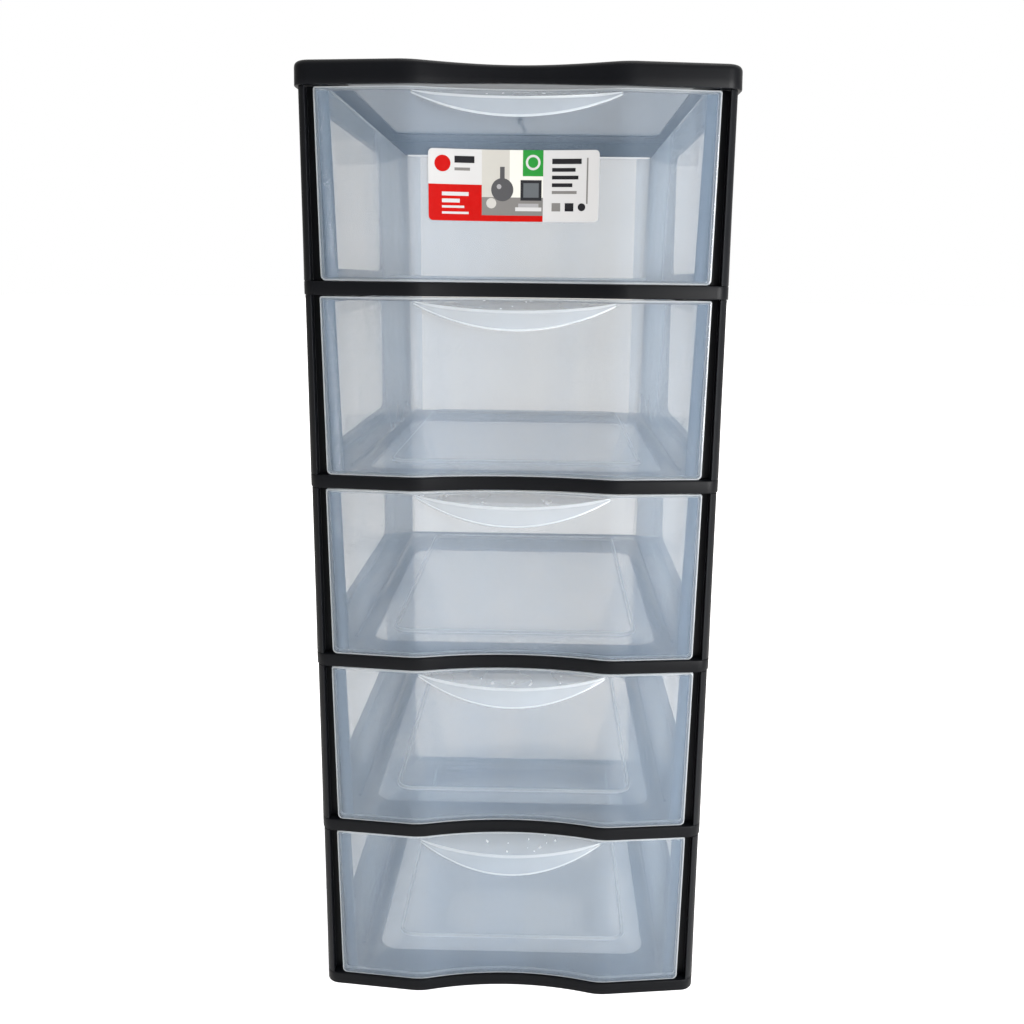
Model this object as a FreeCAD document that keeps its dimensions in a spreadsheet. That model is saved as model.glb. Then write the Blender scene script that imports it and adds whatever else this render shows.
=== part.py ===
import FreeCAD, Part
import math
import os

import Sketcher

# Plastic drawer tower: five drawers of clear plastic in a dark open frame, millimetres.
# Every storey is a shelf frame with two side frames on it; a lid with a clear panel closes
# the top. Each piece is drawn in the frame of its own storey: x = 0 in the middle, y = 0 at
# the two front crests, z = 0 at the underside of the shelf frame, then placed in the tower.

STOREYS = 5

SIZES = {
    # tower
    "frame_width": 300.0,
    "frame_depth": 400.0,
    "storey_pitch": 138.0,
    # waved front
    "recess_depth": 9.9,
    "crest_spacing": 149.0,
    "crest_radius": 19.0,
    "wing_setback": 8.8,
    "front_corner_radius": 11.0,
    "rear_corner_radius": 9.0,
    "inner_corner_cut": 6.0,
    # shelf frame
    "rim_height": 9.5,
    "rim_wall": 3.0,
    "web_thickness": 3.0,
    "shelf_window_margin": 38.0,
    "shelf_window_front": 40.0,
    "shelf_window_rear_margin": 71.0,
    "shelf_window_corner": 10.0,
    "guide_rib_height": 2.6,
    "guide_rib_width": 2.2,
    "guide_front": 46.0,
    "guide_rear_margin": 40.0,
    # side frames
    "side_wall": 3.6,
    "side_step": 1.3,
    "column_width": 6.6,
    "flange_thickness": 2.5,
    "rear_flange_width": 24.0,
    "side_window_front": 36.0,
    "side_window_rear_margin": 49.0,
    "side_lower_rail": 9.5,
    "side_upper_rail": 6.5,
    "side_window_radius": 11.0,
    "side_rib_width": 2.0,
    "side_rib_reach": 3.0,
    "tab_length": 26.0,
    "tab_thickness": 2.2,
    "tab_depth": 4.0,
    "tab_root": 6.0,
    "tab_clearance": 0.2,
    "tab_front": 62.0,
    "tab_rear_margin": 36.0,
    # lid
    "lid_overhang": 2.0,
    "lid_height": 16.0,
    "lid_wall": 4.6,
    "lid_plate": 3.2,
    "lid_edge_bevel": 2.4,
    "lid_arch_rise": 2.4,
    "lid_window_margin": 22.0,
    "lid_window_front": 26.0,
    "lid_window_rear_margin": 53.0,
    "lid_window_radius": 12.0,
    "lid_ledge_width": 4.0,
    "lid_ledge_thickness": 1.2,
    "top_panel_clearance": 0.3,
    # drawer front
    "panel_inset": 1.6,
    "panel_thickness": 2.2,
    "panel_rim_width": 2.0,
    "panel_rim_depth": 4.0,
    "panel_top_margin": 12.3,
    "panel_bottom_margin": 13.6,
    "panel_top_gap": 0.8,
    "panel_corner_radius": 5.0,
    "closing_gap": 0.3,
    # drawer box
    "box_side_margin": 22.5,
    "box_draft": 4.1,
    "box_top_gap": 2.4,
    "box_rear_gap": 4.4,
    "box_wall": 2.0,
    "box_corner_radius": 9.0,
    "box_edge_bevel": 2.2,
    "running_gap": 0.3,
    "side_clearance": 1.5,
    "guide_clearance": 0.8,
    "base_step_margin": 26.4,
    "base_step_front": 55.0,
    "base_step_rear_margin": 20.0,
    "base_step_height": 2.2,
    "base_step_corner": 8.0,
    # pull lip on the drawer front
    "lip_span": 144.0,
    "lip_reach": 16.3,
    "lip_drop": 21.2,
    "ridge_reach": 9.4,
    "ridge_drop": 7.6,
    "lip_end_drop": 5.2,
    "lip_root_drop": 1.0,
    "lip_wall": 2.0,
    # label on the first drawer
    "label_width": 116.0,
    "label_height": 47.0,
    "label_rise": 41.7,
    "label_shift": -1.7,
    "label_thickness": 0.25,
    "label_gap": 0.05,
    # construction
    "overrun": 5.0,
}

# Stations of the pull lip along half its span, as shares of that half.
LIP_STATION_SHARES = (0.0, 0.4, 0.72, 0.96)

# How far two places may differ and still count as the same one.
TOLERANCE = 0.001

doc = FreeCAD.newDocument("drawer_tower")
sheet = doc.addObject("Spreadsheet::Sheet", "sizes")
for row, (alias, value) in enumerate(SIZES.items(), start=1):
    sheet.set(f"A{row}", alias)
    sheet.set(f"B{row}", str(value))
    sheet.setAlias(f"B{row}", alias)
doc.recompute()


def size(alias):
    """Return one named size from the sheet."""
    return float(getattr(sheet, alias))


def vec(x, y, z=0.0):
    """Return a point or direction."""
    return FreeCAD.Vector(x, y, z)


# Places worked out from the sizes.
HALF_WIDTH = size("frame_width") / 2
HALF_CREST = size("crest_spacing") / 2
WING_ANGLE = math.atan2(size("wing_setback"), HALF_WIDTH - HALF_CREST)
RECESS_RADIUS = (HALF_CREST**2 + size("recess_depth") ** 2) / (2 * size("recess_depth")) - size("crest_radius")
RECESS_ANGLE = math.asin(HALF_CREST / (RECESS_RADIUS + size("crest_radius")))
PANEL_BACK = size("panel_inset") + size("panel_thickness") + size("panel_rim_depth")
FLANGE_FRONT = PANEL_BACK + size("closing_gap")
FLANGE_BACK = FLANGE_FRONT + size("flange_thickness")
BOX_TOP_HALF = HALF_WIDTH - size("box_side_margin")
BOX_FOOT_HALF = BOX_TOP_HALF - size("box_draft")
FLANGE_EDGE = BOX_TOP_HALF + size("side_clearance")
BOX_FOOT = size("rim_height") + size("running_gap")
BOX_TOP = size("storey_pitch") - size("box_top_gap")
BOX_REAR = size("frame_depth") - size("side_wall") - size("box_rear_gap")
PANEL_TOP = size("storey_pitch") - size("panel_top_gap")
TOWER_SHIFT = (size("lip_reach") - size("frame_depth") - size("lid_overhang")) / 2


def mirror(point):
    """Return a point of the plan on the other side of the middle."""
    return vec(-point.x, point.y)


def exit_point(inset):
    """Return where the crest turns into the straight wing, the front set back by inset."""
    radius = size("crest_radius") - inset
    return vec(
        HALF_CREST + radius * math.sin(WING_ANGLE),
        size("crest_radius") - radius * math.cos(WING_ANGLE),
    )


def wing_y(x, inset):
    """Return the y of the wing at x, the front set back by inset."""
    start = exit_point(inset)
    return start.y + math.tan(WING_ANGLE) * (x - start.x)


def crest_arcs(inset):
    """Return the right crest, the middle recess and the left crest, from right to left."""
    recess_centre = vec(0, size("recess_depth") - RECESS_RADIUS)
    crest_centre = vec(HALF_CREST, size("crest_radius"))
    crest_radius = size("crest_radius") - inset
    recess_radius = RECESS_RADIUS + inset
    turn = vec(math.sin(RECESS_ANGLE), math.cos(RECESS_ANGLE))
    inflection = crest_centre - turn * crest_radius
    wing_start = exit_point(inset)
    crest_top = vec(HALF_CREST, inset)
    recess_top = vec(0, recess_centre.y + recess_radius)
    return [
        Part.Arc(wing_start, crest_top, inflection),
        Part.Arc(inflection, recess_top, mirror(inflection)),
        Part.Arc(mirror(inflection), mirror(crest_top), mirror(wing_start)),
    ]


def corner_centre():
    """Return the centre of the right front corner of the frame."""
    radius = size("front_corner_radius")
    x = HALF_WIDTH - radius
    start = exit_point(0)
    y = start.y + (radius + (x - start.x) * math.sin(WING_ANGLE)) / math.cos(WING_ANGLE)
    return vec(x, y)


def front_corner(inset):
    """Return the right front corner's start, middle and end, the outline set in by inset."""
    radius = size("front_corner_radius") - inset
    centre = corner_centre()
    half_turn = (math.pi / 2 - WING_ANGLE) / 2
    start = centre + vec(math.sin(WING_ANGLE), -math.cos(WING_ANGLE)) * radius
    middle = centre + vec(math.cos(half_turn), -math.sin(half_turn)) * radius
    return start, middle, centre + vec(radius, 0)


def rear_corner(inset):
    """Return the right rear corner's start, middle and end, the outline set in by inset."""
    corner = size("rear_corner_radius")
    centre = vec(HALF_WIDTH - corner, size("frame_depth") - corner)
    radius = corner - inset
    middle = centre + vec(math.cos(math.pi / 4), math.sin(math.pi / 4)) * radius
    return centre + vec(radius, 0), middle, centre + vec(0, radius)


def frame_outline(inset):
    """Return the closed plan outline of the frame, set in by inset."""
    front = front_corner(inset)
    rear = rear_corner(inset)
    wing_start = exit_point(inset)
    edges = [Part.LineSegment(front[0], wing_start)]
    edges += crest_arcs(inset)
    edges += [
        Part.LineSegment(mirror(wing_start), mirror(front[0])),
        Part.Arc(mirror(front[0]), mirror(front[1]), mirror(front[2])),
        Part.LineSegment(mirror(front[2]), mirror(rear[0])),
        Part.Arc(mirror(rear[0]), mirror(rear[1]), mirror(rear[2])),
        Part.LineSegment(mirror(rear[2]), rear[2]),
        Part.Arc(rear[2], rear[1], rear[0]),
        Part.LineSegment(rear[0], front[2]),
        Part.Arc(front[2], front[1], front[0]),
    ]
    return edges


def wave_edges(inset, half_width):
    """Return the waved front line from right to left, the wings running on to half_width."""
    wing_start = exit_point(inset)
    wing_end = vec(half_width, wing_y(half_width, inset))
    right_wing = Part.LineSegment(wing_end, wing_start)
    left_wing = Part.LineSegment(mirror(wing_start), mirror(wing_end))
    return [right_wing, *crest_arcs(inset), left_wing]


def channel_outline(inset):
    """Return the closed plan outline of the hollow under a rim, its corners cut straight."""
    cut = size("inner_corner_cut")
    side = HALF_WIDTH - inset
    rear = size("frame_depth") - inset
    front = wave_edges(inset, side - cut)
    corners = [vec(side, wing_y(side, inset) + cut), vec(side, rear - cut), vec(side - cut, rear)]
    path = [front[0].StartPoint, *corners, *[mirror(corner) for corner in reversed(corners)], front[-1].EndPoint]
    return front + [Part.LineSegment(start, end) for start, end in zip(path, path[1:])]


def wave_band(front_inset, back_inset, half_width):
    """Return a closed band between two waved lines."""
    front = wave_edges(front_inset, half_width)
    back = wave_edges(back_inset, half_width)
    right = Part.LineSegment(back[0].StartPoint, front[0].StartPoint)
    left = Part.LineSegment(front[-1].EndPoint, back[-1].EndPoint)
    return front + back + [right, left]


def front_block(back_inset, half_width, reach):
    """Return a closed region from a line in front of the tower back to a waved line."""
    back = wave_edges(back_inset, half_width)
    right_end = back[0].StartPoint
    left_end = back[-1].EndPoint
    right_front = vec(right_end.x, -reach)
    left_front = vec(left_end.x, -reach)
    sides = [
        Part.LineSegment(right_end, right_front),
        Part.LineSegment(right_front, left_front),
        Part.LineSegment(left_front, left_end),
    ]
    return back + sides


def rounded_polygon(corners, radii):
    """Return a closed outline through the corners, each rounded by its radius."""
    count = len(corners)
    cuts = []
    for index, (corner, radius) in enumerate(zip(corners, radii)):
        to_last = (corners[index - 1] - corner).normalize()
        to_next = (corners[(index + 1) % count] - corner).normalize()
        half_angle = to_last.getAngle(to_next) / 2
        reach = radius / math.tan(half_angle)
        bisector = (to_last + to_next).normalize()
        middle = corner + bisector * (radius / math.sin(half_angle) - radius)
        cuts.append((corner + to_last * reach, middle, corner + to_next * reach))
    edges = []
    for index, (start, middle, end) in enumerate(cuts):
        if radii[index] > 0:
            edges.append(Part.Arc(start, middle, end))
        edges.append(Part.LineSegment(end, cuts[(index + 1) % count][0]))
    return edges


def polygon(corners):
    """Return a closed outline of straight edges through the corners."""
    ends = corners[1:] + corners[:1]
    return [Part.LineSegment(start, end) for start, end in zip(corners, ends)]


def plain_box(x_min, x_max, y_min, y_max):
    """Return a closed rectangle with square corners."""
    return polygon([vec(x_min, y_min), vec(x_max, y_min), vec(x_max, y_max), vec(x_min, y_max)])


def cut_box(x_min, x_max, y_min, y_max, cut):
    """Return a closed rectangle with four corners cut straight."""
    near = [vec(x_min, y_min + cut), vec(x_min + cut, y_min), vec(x_max - cut, y_min), vec(x_max, y_min + cut)]
    far = [vec(x_max, y_max - cut), vec(x_max - cut, y_max), vec(x_min + cut, y_max), vec(x_min, y_max - cut)]
    return polygon(near + far)


def rounded_box(x_min, x_max, y_min, y_max, radius):
    """Return a closed rectangle with four rounded corners."""
    corners = [vec(x_min, y_min), vec(x_max, y_min), vec(x_max, y_max), vec(x_min, y_max)]
    return rounded_polygon(corners, [radius] * 4)


def fill_sketch(sketch, edges):
    """Put the edges into the sketch and hold each where it is."""
    for edge in edges:
        index = sketch.addGeometry(edge, False)
        sketch.addConstraint(Sketcher.Constraint("Block", index))


class Piece:
    """A sub-part drawn as one body of sketched features, standing on its storey."""

    def __init__(self, name, storey):
        """Make the empty body of one piece.

        Args:
            name: The piece's label, which names its file.
            storey: How many storeys lie below the piece.
        """
        self.body = doc.addObject("PartDesign::Body", name)
        self.body.Label = name
        place(self.body, storey)
        self.serial = 0

    def sketch(self, role, edges, shift=None):
        """Return a sketch of the edges on one origin plane of the body.

        Args:
            role: The plane's role, such as XY_Plane.
            edges: The lines and arcs, in the plane's own two directions.
            shift: The expression for the plane's shift along its normal.
        """
        self.serial += 1
        plane = next(item for item in self.body.Origin.OriginFeatures if item.Role == role)
        sketch = self.body.newObject("Sketcher::SketchObject", f"{self.body.Name}_outline_{self.serial}")
        sketch.AttachmentSupport = [(plane, "")]
        sketch.MapMode = "FlatFace"
        if shift:
            sketch.setExpression("AttachmentOffset.Base.z", shift)
        fill_sketch(sketch, edges)
        return sketch

    def shape_by(self, kind, sketch, length, reverse=False):
        """Add a pad or pocket, its length an expression of named sizes."""
        self.serial += 1
        before = self.volume()
        feature = self.body.newObject(f"PartDesign::{kind}", f"{self.body.Name}_{kind.lower()}_{self.serial}")
        feature.Profile = sketch
        feature.setExpression("Length", length)
        feature.Reversed = reverse
        doc.recompute()
        if (self.volume() > before) != (kind == "Pad"):
            raise ValueError(f"{feature.Name} changed nothing")
        return feature

    def volume(self):
        """Return the body's volume so far."""
        return 0.0 if self.body.Shape.isNull() else self.body.Shape.Volume

    def bevel_edges(self, accept, alias):
        """Bevel the edges that accept says yes to by a named size."""
        self.serial += 1
        base = self.body.Tip
        edges = base.Shape.Edges
        names = [f"Edge{number}" for number, edge in enumerate(edges, start=1) if accept(edge)]
        feature = self.body.newObject("PartDesign::Chamfer", f"{self.body.Name}_bevel_{self.serial}")
        feature.Base = (base, names)
        feature.setExpression("Size", f"sizes.{alias}")
        doc.recompute()
        return feature

    def loft(self, kind, sketches):
        """Add an AdditiveLoft or SubtractiveLoft with straight walls through the sketches."""
        self.serial += 1
        feature = self.body.newObject(f"PartDesign::{kind}", f"{self.body.Name}_loft_{self.serial}")
        feature.Profile = sketches[0]
        feature.Sections = sketches[1:]
        feature.Ruled = True
        doc.recompute()
        return feature


def place(item, storey):
    """Put a piece in the tower, its own storey's zero at the right height."""
    height = storey * size("storey_pitch")
    item.Placement = FreeCAD.Placement(vec(0, TOWER_SHIFT, height), FreeCAD.Rotation())


def lies_level(edge, height):
    """Tell whether an edge lies flat at one height."""
    box = edge.BoundBox
    return abs(box.ZMin - height) < TOLERANCE and abs(box.ZMax - height) < TOLERANCE


def bar(name, edges, length, plane="XY", start=0.0):
    """Return a prism of the edges, drawn in plan or, with plane XZ, as seen from the front.

    Args:
        name: The prism's name.
        edges: Its closed outline.
        length: The expression for its length, upwards or rearwards.
        plane: XY for an outline in plan, XZ for one seen from the front.
        start: Where it starts, as a height or as a y.
    """
    sketch = doc.addObject("Sketcher::SketchObject", f"{name}_outline")
    if plane == "XY":
        sketch.Placement = FreeCAD.Placement(vec(0, 0, start), FreeCAD.Rotation())
        direction = vec(0, 0, 1)
    else:
        sketch.Placement = FreeCAD.Placement(vec(0, start), FreeCAD.Rotation(vec(1, 0), 90))
        direction = vec(0, 1)
    fill_sketch(sketch, edges)
    prism = doc.addObject("Part::Extrusion", name)
    prism.Base = sketch
    prism.DirMode = "Custom"
    prism.Dir = direction
    prism.setExpression("LengthFwd", length)
    prism.Solid = True
    return prism


def combine(kind, name, *items):
    """Return the Cut, MultiCommon or MultiFuse of the items."""
    result = doc.addObject(f"Part::{kind}", name)
    if kind == "Cut":
        result.Base, result.Tool = items
    else:
        result.Shapes = list(items)
    doc.recompute()
    return result


def make_shelf_frame(name, storey):
    """Make a shelf: a waved rim, a web round a wide window, guide ribs and tab slots."""
    piece = Piece(name, storey)
    piece.shape_by("Pad", piece.sketch("XY_Plane", frame_outline(0)), "sizes.rim_height")
    half = HALF_WIDTH - size("shelf_window_margin")
    front = size("shelf_window_front")
    rear = size("frame_depth") - size("shelf_window_rear_margin")
    channel = piece.sketch("XY_Plane", channel_outline(size("rim_wall")))
    piece.shape_by("Pocket", channel, "sizes.rim_height - sizes.web_thickness", reverse=True)
    window = piece.sketch("XY_Plane", cut_box(-half, half, front, rear, size("shelf_window_corner")))
    piece.shape_by("Pocket", window, "sizes.rim_height", reverse=True)
    slots = []
    for sign in (-1, 1):
        slots += tab_boxes(sign, size("tab_clearance"), HALF_WIDTH - size("rim_wall"))
    piece.shape_by("Pocket", piece.sketch("XY_Plane", slots), "sizes.rim_height", reverse=True)
    inner = BOX_FOOT_HALF + size("guide_clearance")
    guide_rear = size("frame_depth") - size("guide_rear_margin")
    guides = []
    for sign in (-1, 1):
        ends = sorted((sign * inner, sign * (inner + size("guide_rib_width"))))
        guides += plain_box(ends[0], ends[1], size("guide_front"), guide_rear)
    piece.shape_by("Pad", piece.sketch("XY_Plane", guides, "sizes.rim_height"), "sizes.guide_rib_height")
    return piece.body


def tab_boxes(sign, clearance, outer):
    """Return the outlines of one side's two tabs, grown by a clearance, out to outer."""
    inner = HALF_WIDTH - size("rim_wall") - size("tab_clearance") - size("tab_thickness") - clearance
    ends = sorted((sign * inner, sign * outer))
    front = size("tab_front")
    rear = size("frame_depth") - size("tab_rear_margin")
    length = size("tab_length")
    boxes = plain_box(ends[0], ends[1], front - clearance, front + length + clearance)
    return boxes + plain_box(ends[0], ends[1], rear - length - clearance, rear + clearance)


def side_profile(sign):
    """Return the plan outline of a side frame: front column and flange, wall, rear flange."""
    wall = size("side_wall")
    depth = size("frame_depth")
    column = HALF_WIDTH - size("column_width")
    centre = corner_centre()
    radius = size("front_corner_radius")
    column_y = centre.y - math.sqrt(radius**2 - (column - centre.x) ** 2)
    corner_turn = math.atan2(centre.y - column_y, column - centre.x) / 2
    corner_middle = centre + vec(math.cos(corner_turn), -math.sin(corner_turn)) * radius
    rear_outer = rear_corner(0)
    rear_inner = rear_corner(wall)
    flange_end = HALF_WIDTH - size("rear_flange_width")
    side_inner = HALF_WIDTH - wall
    path = [
        (vec(FLANGE_EDGE, wing_y(FLANGE_EDGE, FLANGE_FRONT)), vec(column, wing_y(column, FLANGE_FRONT))),
        (vec(column, wing_y(column, FLANGE_FRONT)), vec(column, column_y)),
        (vec(column, column_y), corner_middle, vec(HALF_WIDTH, centre.y)),
        (vec(HALF_WIDTH, centre.y), rear_outer[0]),
        rear_outer,
        (rear_outer[2], vec(flange_end, depth)),
        (vec(flange_end, depth), vec(flange_end, depth - wall)),
        (vec(flange_end, depth - wall), rear_inner[2]),
        (rear_inner[2], rear_inner[0]),
        (rear_inner[0], vec(side_inner, wing_y(side_inner, FLANGE_BACK))),
        (vec(side_inner, wing_y(side_inner, FLANGE_BACK)), vec(FLANGE_EDGE, wing_y(FLANGE_EDGE, FLANGE_BACK))),
        (vec(FLANGE_EDGE, wing_y(FLANGE_EDGE, FLANGE_BACK)), vec(FLANGE_EDGE, wing_y(FLANGE_EDGE, FLANGE_FRONT))),
    ]
    edges = []
    for points in path:
        turned = [vec(sign * point.x, point.y) for point in points]
        edges.append(Part.Arc(*turned) if len(turned) == 3 else Part.LineSegment(*turned))
    return edges


def make_side_frame(name, storey, sign):
    """Make a side frame: a wall with a window, a front column, flanges and snap tabs."""
    piece = Piece(name, storey)
    rise = "sizes.storey_pitch - sizes.rim_height"
    piece.shape_by("Pad", piece.sketch("XY_Plane", side_profile(sign), "sizes.rim_height"), rise)
    foot = size("rim_height")
    top = size("storey_pitch")
    outside = HALF_WIDTH + size("overrun")
    lean = [vec(sign * HALF_WIDTH, foot), vec(sign * outside, foot), vec(sign * outside, top)]
    lean.append(vec(sign * (HALF_WIDTH - size("side_step")), top))
    piece.shape_by("Pocket", piece.sketch("XZ_Plane", polygon(lean)), "sizes.frame_depth + sizes.overrun")
    front = size("side_window_front")
    rear = size("frame_depth") - size("side_window_rear_margin")
    low = foot + size("side_lower_rail")
    high = top - size("side_upper_rail")
    radius = size("side_window_radius")
    rib = size("side_rib_width")
    window = rounded_box(front, rear, low, high, radius)
    ribs = plain_box(front, rear, low - rib, low) + plain_box(front, rear, high, high + rib)
    rib_face = f"{sign} * (sizes.frame_width / 2 - sizes.side_wall - sizes.side_rib_reach)"
    rib_sketch = piece.sketch("YZ_Plane", ribs, rib_face)
    piece.shape_by("Pad", rib_sketch, "sizes.side_rib_reach + sizes.side_wall / 2", reverse=sign < 0)
    window_reach = "sizes.frame_width / 2 + sizes.overrun"
    piece.shape_by("Pocket", piece.sketch("YZ_Plane", window), window_reach, reverse=sign > 0)
    tab_outer = HALF_WIDTH - size("rim_wall") - size("tab_clearance")
    tabs = tab_boxes(sign, 0, tab_outer)
    tab_height = "sizes.tab_root + sizes.tab_depth"
    foot_tabs = piece.sketch("XY_Plane", tabs, "sizes.rim_height - sizes.tab_depth")
    piece.shape_by("Pad", foot_tabs, tab_height)
    head_tabs = piece.sketch("XY_Plane", tabs, "sizes.storey_pitch - sizes.tab_root")
    piece.shape_by("Pad", head_tabs, tab_height)
    return piece.body


def make_top_frame(name, storey):
    """Make the lid's frame: an overhanging waved skirt with a ledge round its window."""
    piece = Piece(name, storey)
    outline = frame_outline(-size("lid_overhang"))
    piece.shape_by("Pad", piece.sketch("XY_Plane", outline), "sizes.lid_height")
    piece.bevel_edges(lambda edge: lies_level(edge, size("lid_height")), "lid_edge_bevel")
    hollow = channel_outline(size("lid_wall") - size("lid_overhang"))
    piece.shape_by("Pocket", piece.sketch("XY_Plane", hollow), "sizes.lid_height - sizes.lid_plate", reverse=True)
    piece.shape_by("Pocket", piece.sketch("XY_Plane", lid_window(0)), "sizes.lid_height", reverse=True)
    seat = piece.sketch("XY_Plane", lid_window(size("lid_ledge_width")), "sizes.lid_height")
    piece.shape_by("Pocket", seat, "sizes.lid_plate - sizes.lid_ledge_thickness")
    arch = piece.sketch("XZ_Plane", lid_arch(), "sizes.overrun")
    piece.shape_by("Pocket", arch, "sizes.overrun + sizes.recess_depth + sizes.lid_wall")
    return piece.body


def lid_arch():
    """Return the low arch cut in the foot of the lid's skirt, over the hollow of the front."""
    left = vec(-HALF_CREST, 0)
    crown = vec(0, size("lid_arch_rise"))
    return [Part.Arc(left, crown, mirror(left)), Part.LineSegment(mirror(left), left)]


def lid_window(growth):
    """Return the outline of the lid's window, grown all round."""
    half = HALF_WIDTH - size("lid_window_margin") + growth
    front = size("lid_window_front") - growth
    rear = size("frame_depth") - size("lid_window_rear_margin") + growth
    return rounded_box(-half, half, front, rear, size("lid_window_radius") + growth)


def make_top_panel(name, storey):
    """Make the clear panel that lies on the lid's ledge."""
    piece = Piece(name, storey)
    growth = size("lid_ledge_width") - size("top_panel_clearance")
    foot = "sizes.lid_height - sizes.lid_plate + sizes.lid_ledge_thickness"
    plate = piece.sketch("XY_Plane", lid_window(growth), foot)
    piece.shape_by("Pad", plate, "sizes.lid_plate - sizes.lid_ledge_thickness")
    return piece.body


def box_outline(height, inset):
    """Return the plan outline of the drawer's box at a height, set in from its outer face."""
    lean = size("box_draft") * (height - BOX_FOOT) / (BOX_TOP - BOX_FOOT)
    half = BOX_FOOT_HALF + lean - inset
    front = -size("overrun") - inset
    rear = BOX_REAR - size("box_draft") + lean - inset
    radius = size("box_corner_radius") - inset
    corners = [vec(-half, front), vec(half, front), vec(half, rear), vec(-half, rear)]
    return rounded_polygon(corners, [0, 0, radius, radius])


def make_drawer_box(name):
    """Make the drawer's box: tapered, rounded, hollow, with a step pressed up in its base."""
    piece = Piece(name, 0)
    piece.body.Placement = FreeCAD.Placement()
    wall = size("box_wall")
    bevel = size("box_edge_bevel")
    outside = (("AdditiveLoft", BOX_FOOT, 0, BOX_TOP), ("SubtractiveLoft", BOX_FOOT + wall, wall, BOX_TOP))
    for kind, foot, inset, top in outside:
        levels = ((foot, inset + bevel), (foot + bevel, inset), (top, inset))
        piece.loft(kind, [piece.sketch("XY_Plane", box_outline(*level), str(level[0])) for level in levels])
    rear = BOX_REAR - size("base_step_rear_margin")
    half = BOX_FOOT_HALF - size("base_step_margin")
    front = size("base_step_front")
    edge = 2 * wall
    raised = cut_box(-half, half, front, rear, size("base_step_corner"))
    sunk = plain_box(-half + edge, half - edge, front + edge, rear - edge)
    foot = "sizes.rim_height + sizes.running_gap"
    piece.shape_by("Pad", piece.sketch("XY_Plane", raised, foot), "sizes.box_wall + sizes.base_step_height")
    piece.shape_by("Pocket", piece.sketch("XY_Plane", sunk, foot), "sizes.base_step_height", reverse=True)
    return piece.body


def panel_outline(margin):
    """Return the drawer front as seen from the front, set in by a margin."""
    foot = BOX_FOOT + margin
    top = PANEL_TOP - margin
    half_foot = HALF_WIDTH - size("panel_bottom_margin") - margin
    half_top = HALF_WIDTH - size("panel_top_margin") - margin
    corners = [vec(-half_foot, foot), vec(half_foot, foot), vec(half_top, top), vec(-half_top, top)]
    radius = size("panel_corner_radius") if margin == 0 else 0
    return rounded_polygon(corners, [radius, radius, 0, 0])


def make_drawer_panel(name):
    """Make the waved front of a drawer: a plate with a rim turned back all round."""
    depth = "sizes.recess_depth + sizes.panel_thickness + sizes.panel_rim_depth + 4 * sizes.overrun"
    start = -size("overrun")
    band = wave_band(size("panel_inset"), PANEL_BACK, HALF_WIDTH)
    solid = combine(
        "MultiCommon",
        f"{name}_solid",
        bar(f"{name}_band", band, "sizes.storey_pitch"),
        bar(f"{name}_front", panel_outline(0), depth, "XZ", start),
    )
    plate_back = size("panel_inset") + size("panel_thickness")
    hollow_band = wave_band(plate_back, PANEL_BACK + size("overrun"), HALF_WIDTH)
    hollow = combine(
        "MultiCommon",
        f"{name}_hollow",
        bar(f"{name}_hollow_band", hollow_band, "sizes.storey_pitch"),
        bar(f"{name}_hollow_front", panel_outline(size("panel_rim_width")), depth, "XZ", start),
    )
    return combine("Cut", f"{name}_shell", solid, hollow)


def face_y(x, inset):
    """Return the y of the waved front at x, set back by inset."""
    x = abs(x)
    inflection = RECESS_RADIUS * math.sin(RECESS_ANGLE) + inset * math.sin(RECESS_ANGLE)
    if x <= inflection:
        radius = RECESS_RADIUS + inset
        return size("recess_depth") - RECESS_RADIUS + math.sqrt(radius**2 - x**2)
    if x <= exit_point(inset).x:
        radius = size("crest_radius") - inset
        return size("crest_radius") - math.sqrt(radius**2 - (x - HALF_CREST) ** 2)
    return wing_y(x, inset)


def lip_section(share):
    """Return the section of the pull lip at a share of its half span.

    The lip leaves the top of the face, falls forward to a ridge and turns down to its tip.
    All three run together at the ends, inside the face.
    """
    fullness = 1 - share**2
    wall = size("lip_wall")
    end_x = size("lip_span") / 2
    end_y = face_y(end_x, size("panel_inset")) + size("panel_thickness") / 2
    end_z = PANEL_TOP - size("lip_end_drop")
    upper_end = vec(end_y, end_z + wall / 2)
    lower_end = vec(end_y, end_z - wall / 2)
    root_y = face_y(share * end_x, size("panel_inset")) + size("panel_thickness") / 2
    middle_root = vec(root_y, PANEL_TOP - size("lip_root_drop"))
    middle_ridge = vec(-size("ridge_reach"), PANEL_TOP - size("ridge_drop"))
    middle_tip = vec(-size("lip_reach"), PANEL_TOP - size("lip_drop"))
    root = vec(root_y, upper_end.y + (middle_root.y - upper_end.y) * fullness)
    ridge = upper_end + (middle_ridge - upper_end) * fullness
    tip = lower_end + (middle_tip - lower_end) * fullness
    top_run = (ridge - root).normalize()
    skirt_run = (tip - ridge).normalize()
    under = vec(-top_run.y, top_run.x) * wall
    behind = vec(-skirt_run.y, skirt_run.x) * wall
    half_turn = top_run.getAngle(skirt_run) / 2
    inner = (under + behind).normalize() * (wall / math.cos(half_turn))
    return [root, ridge, tip, tip + behind, ridge + inner, root + under]


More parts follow.
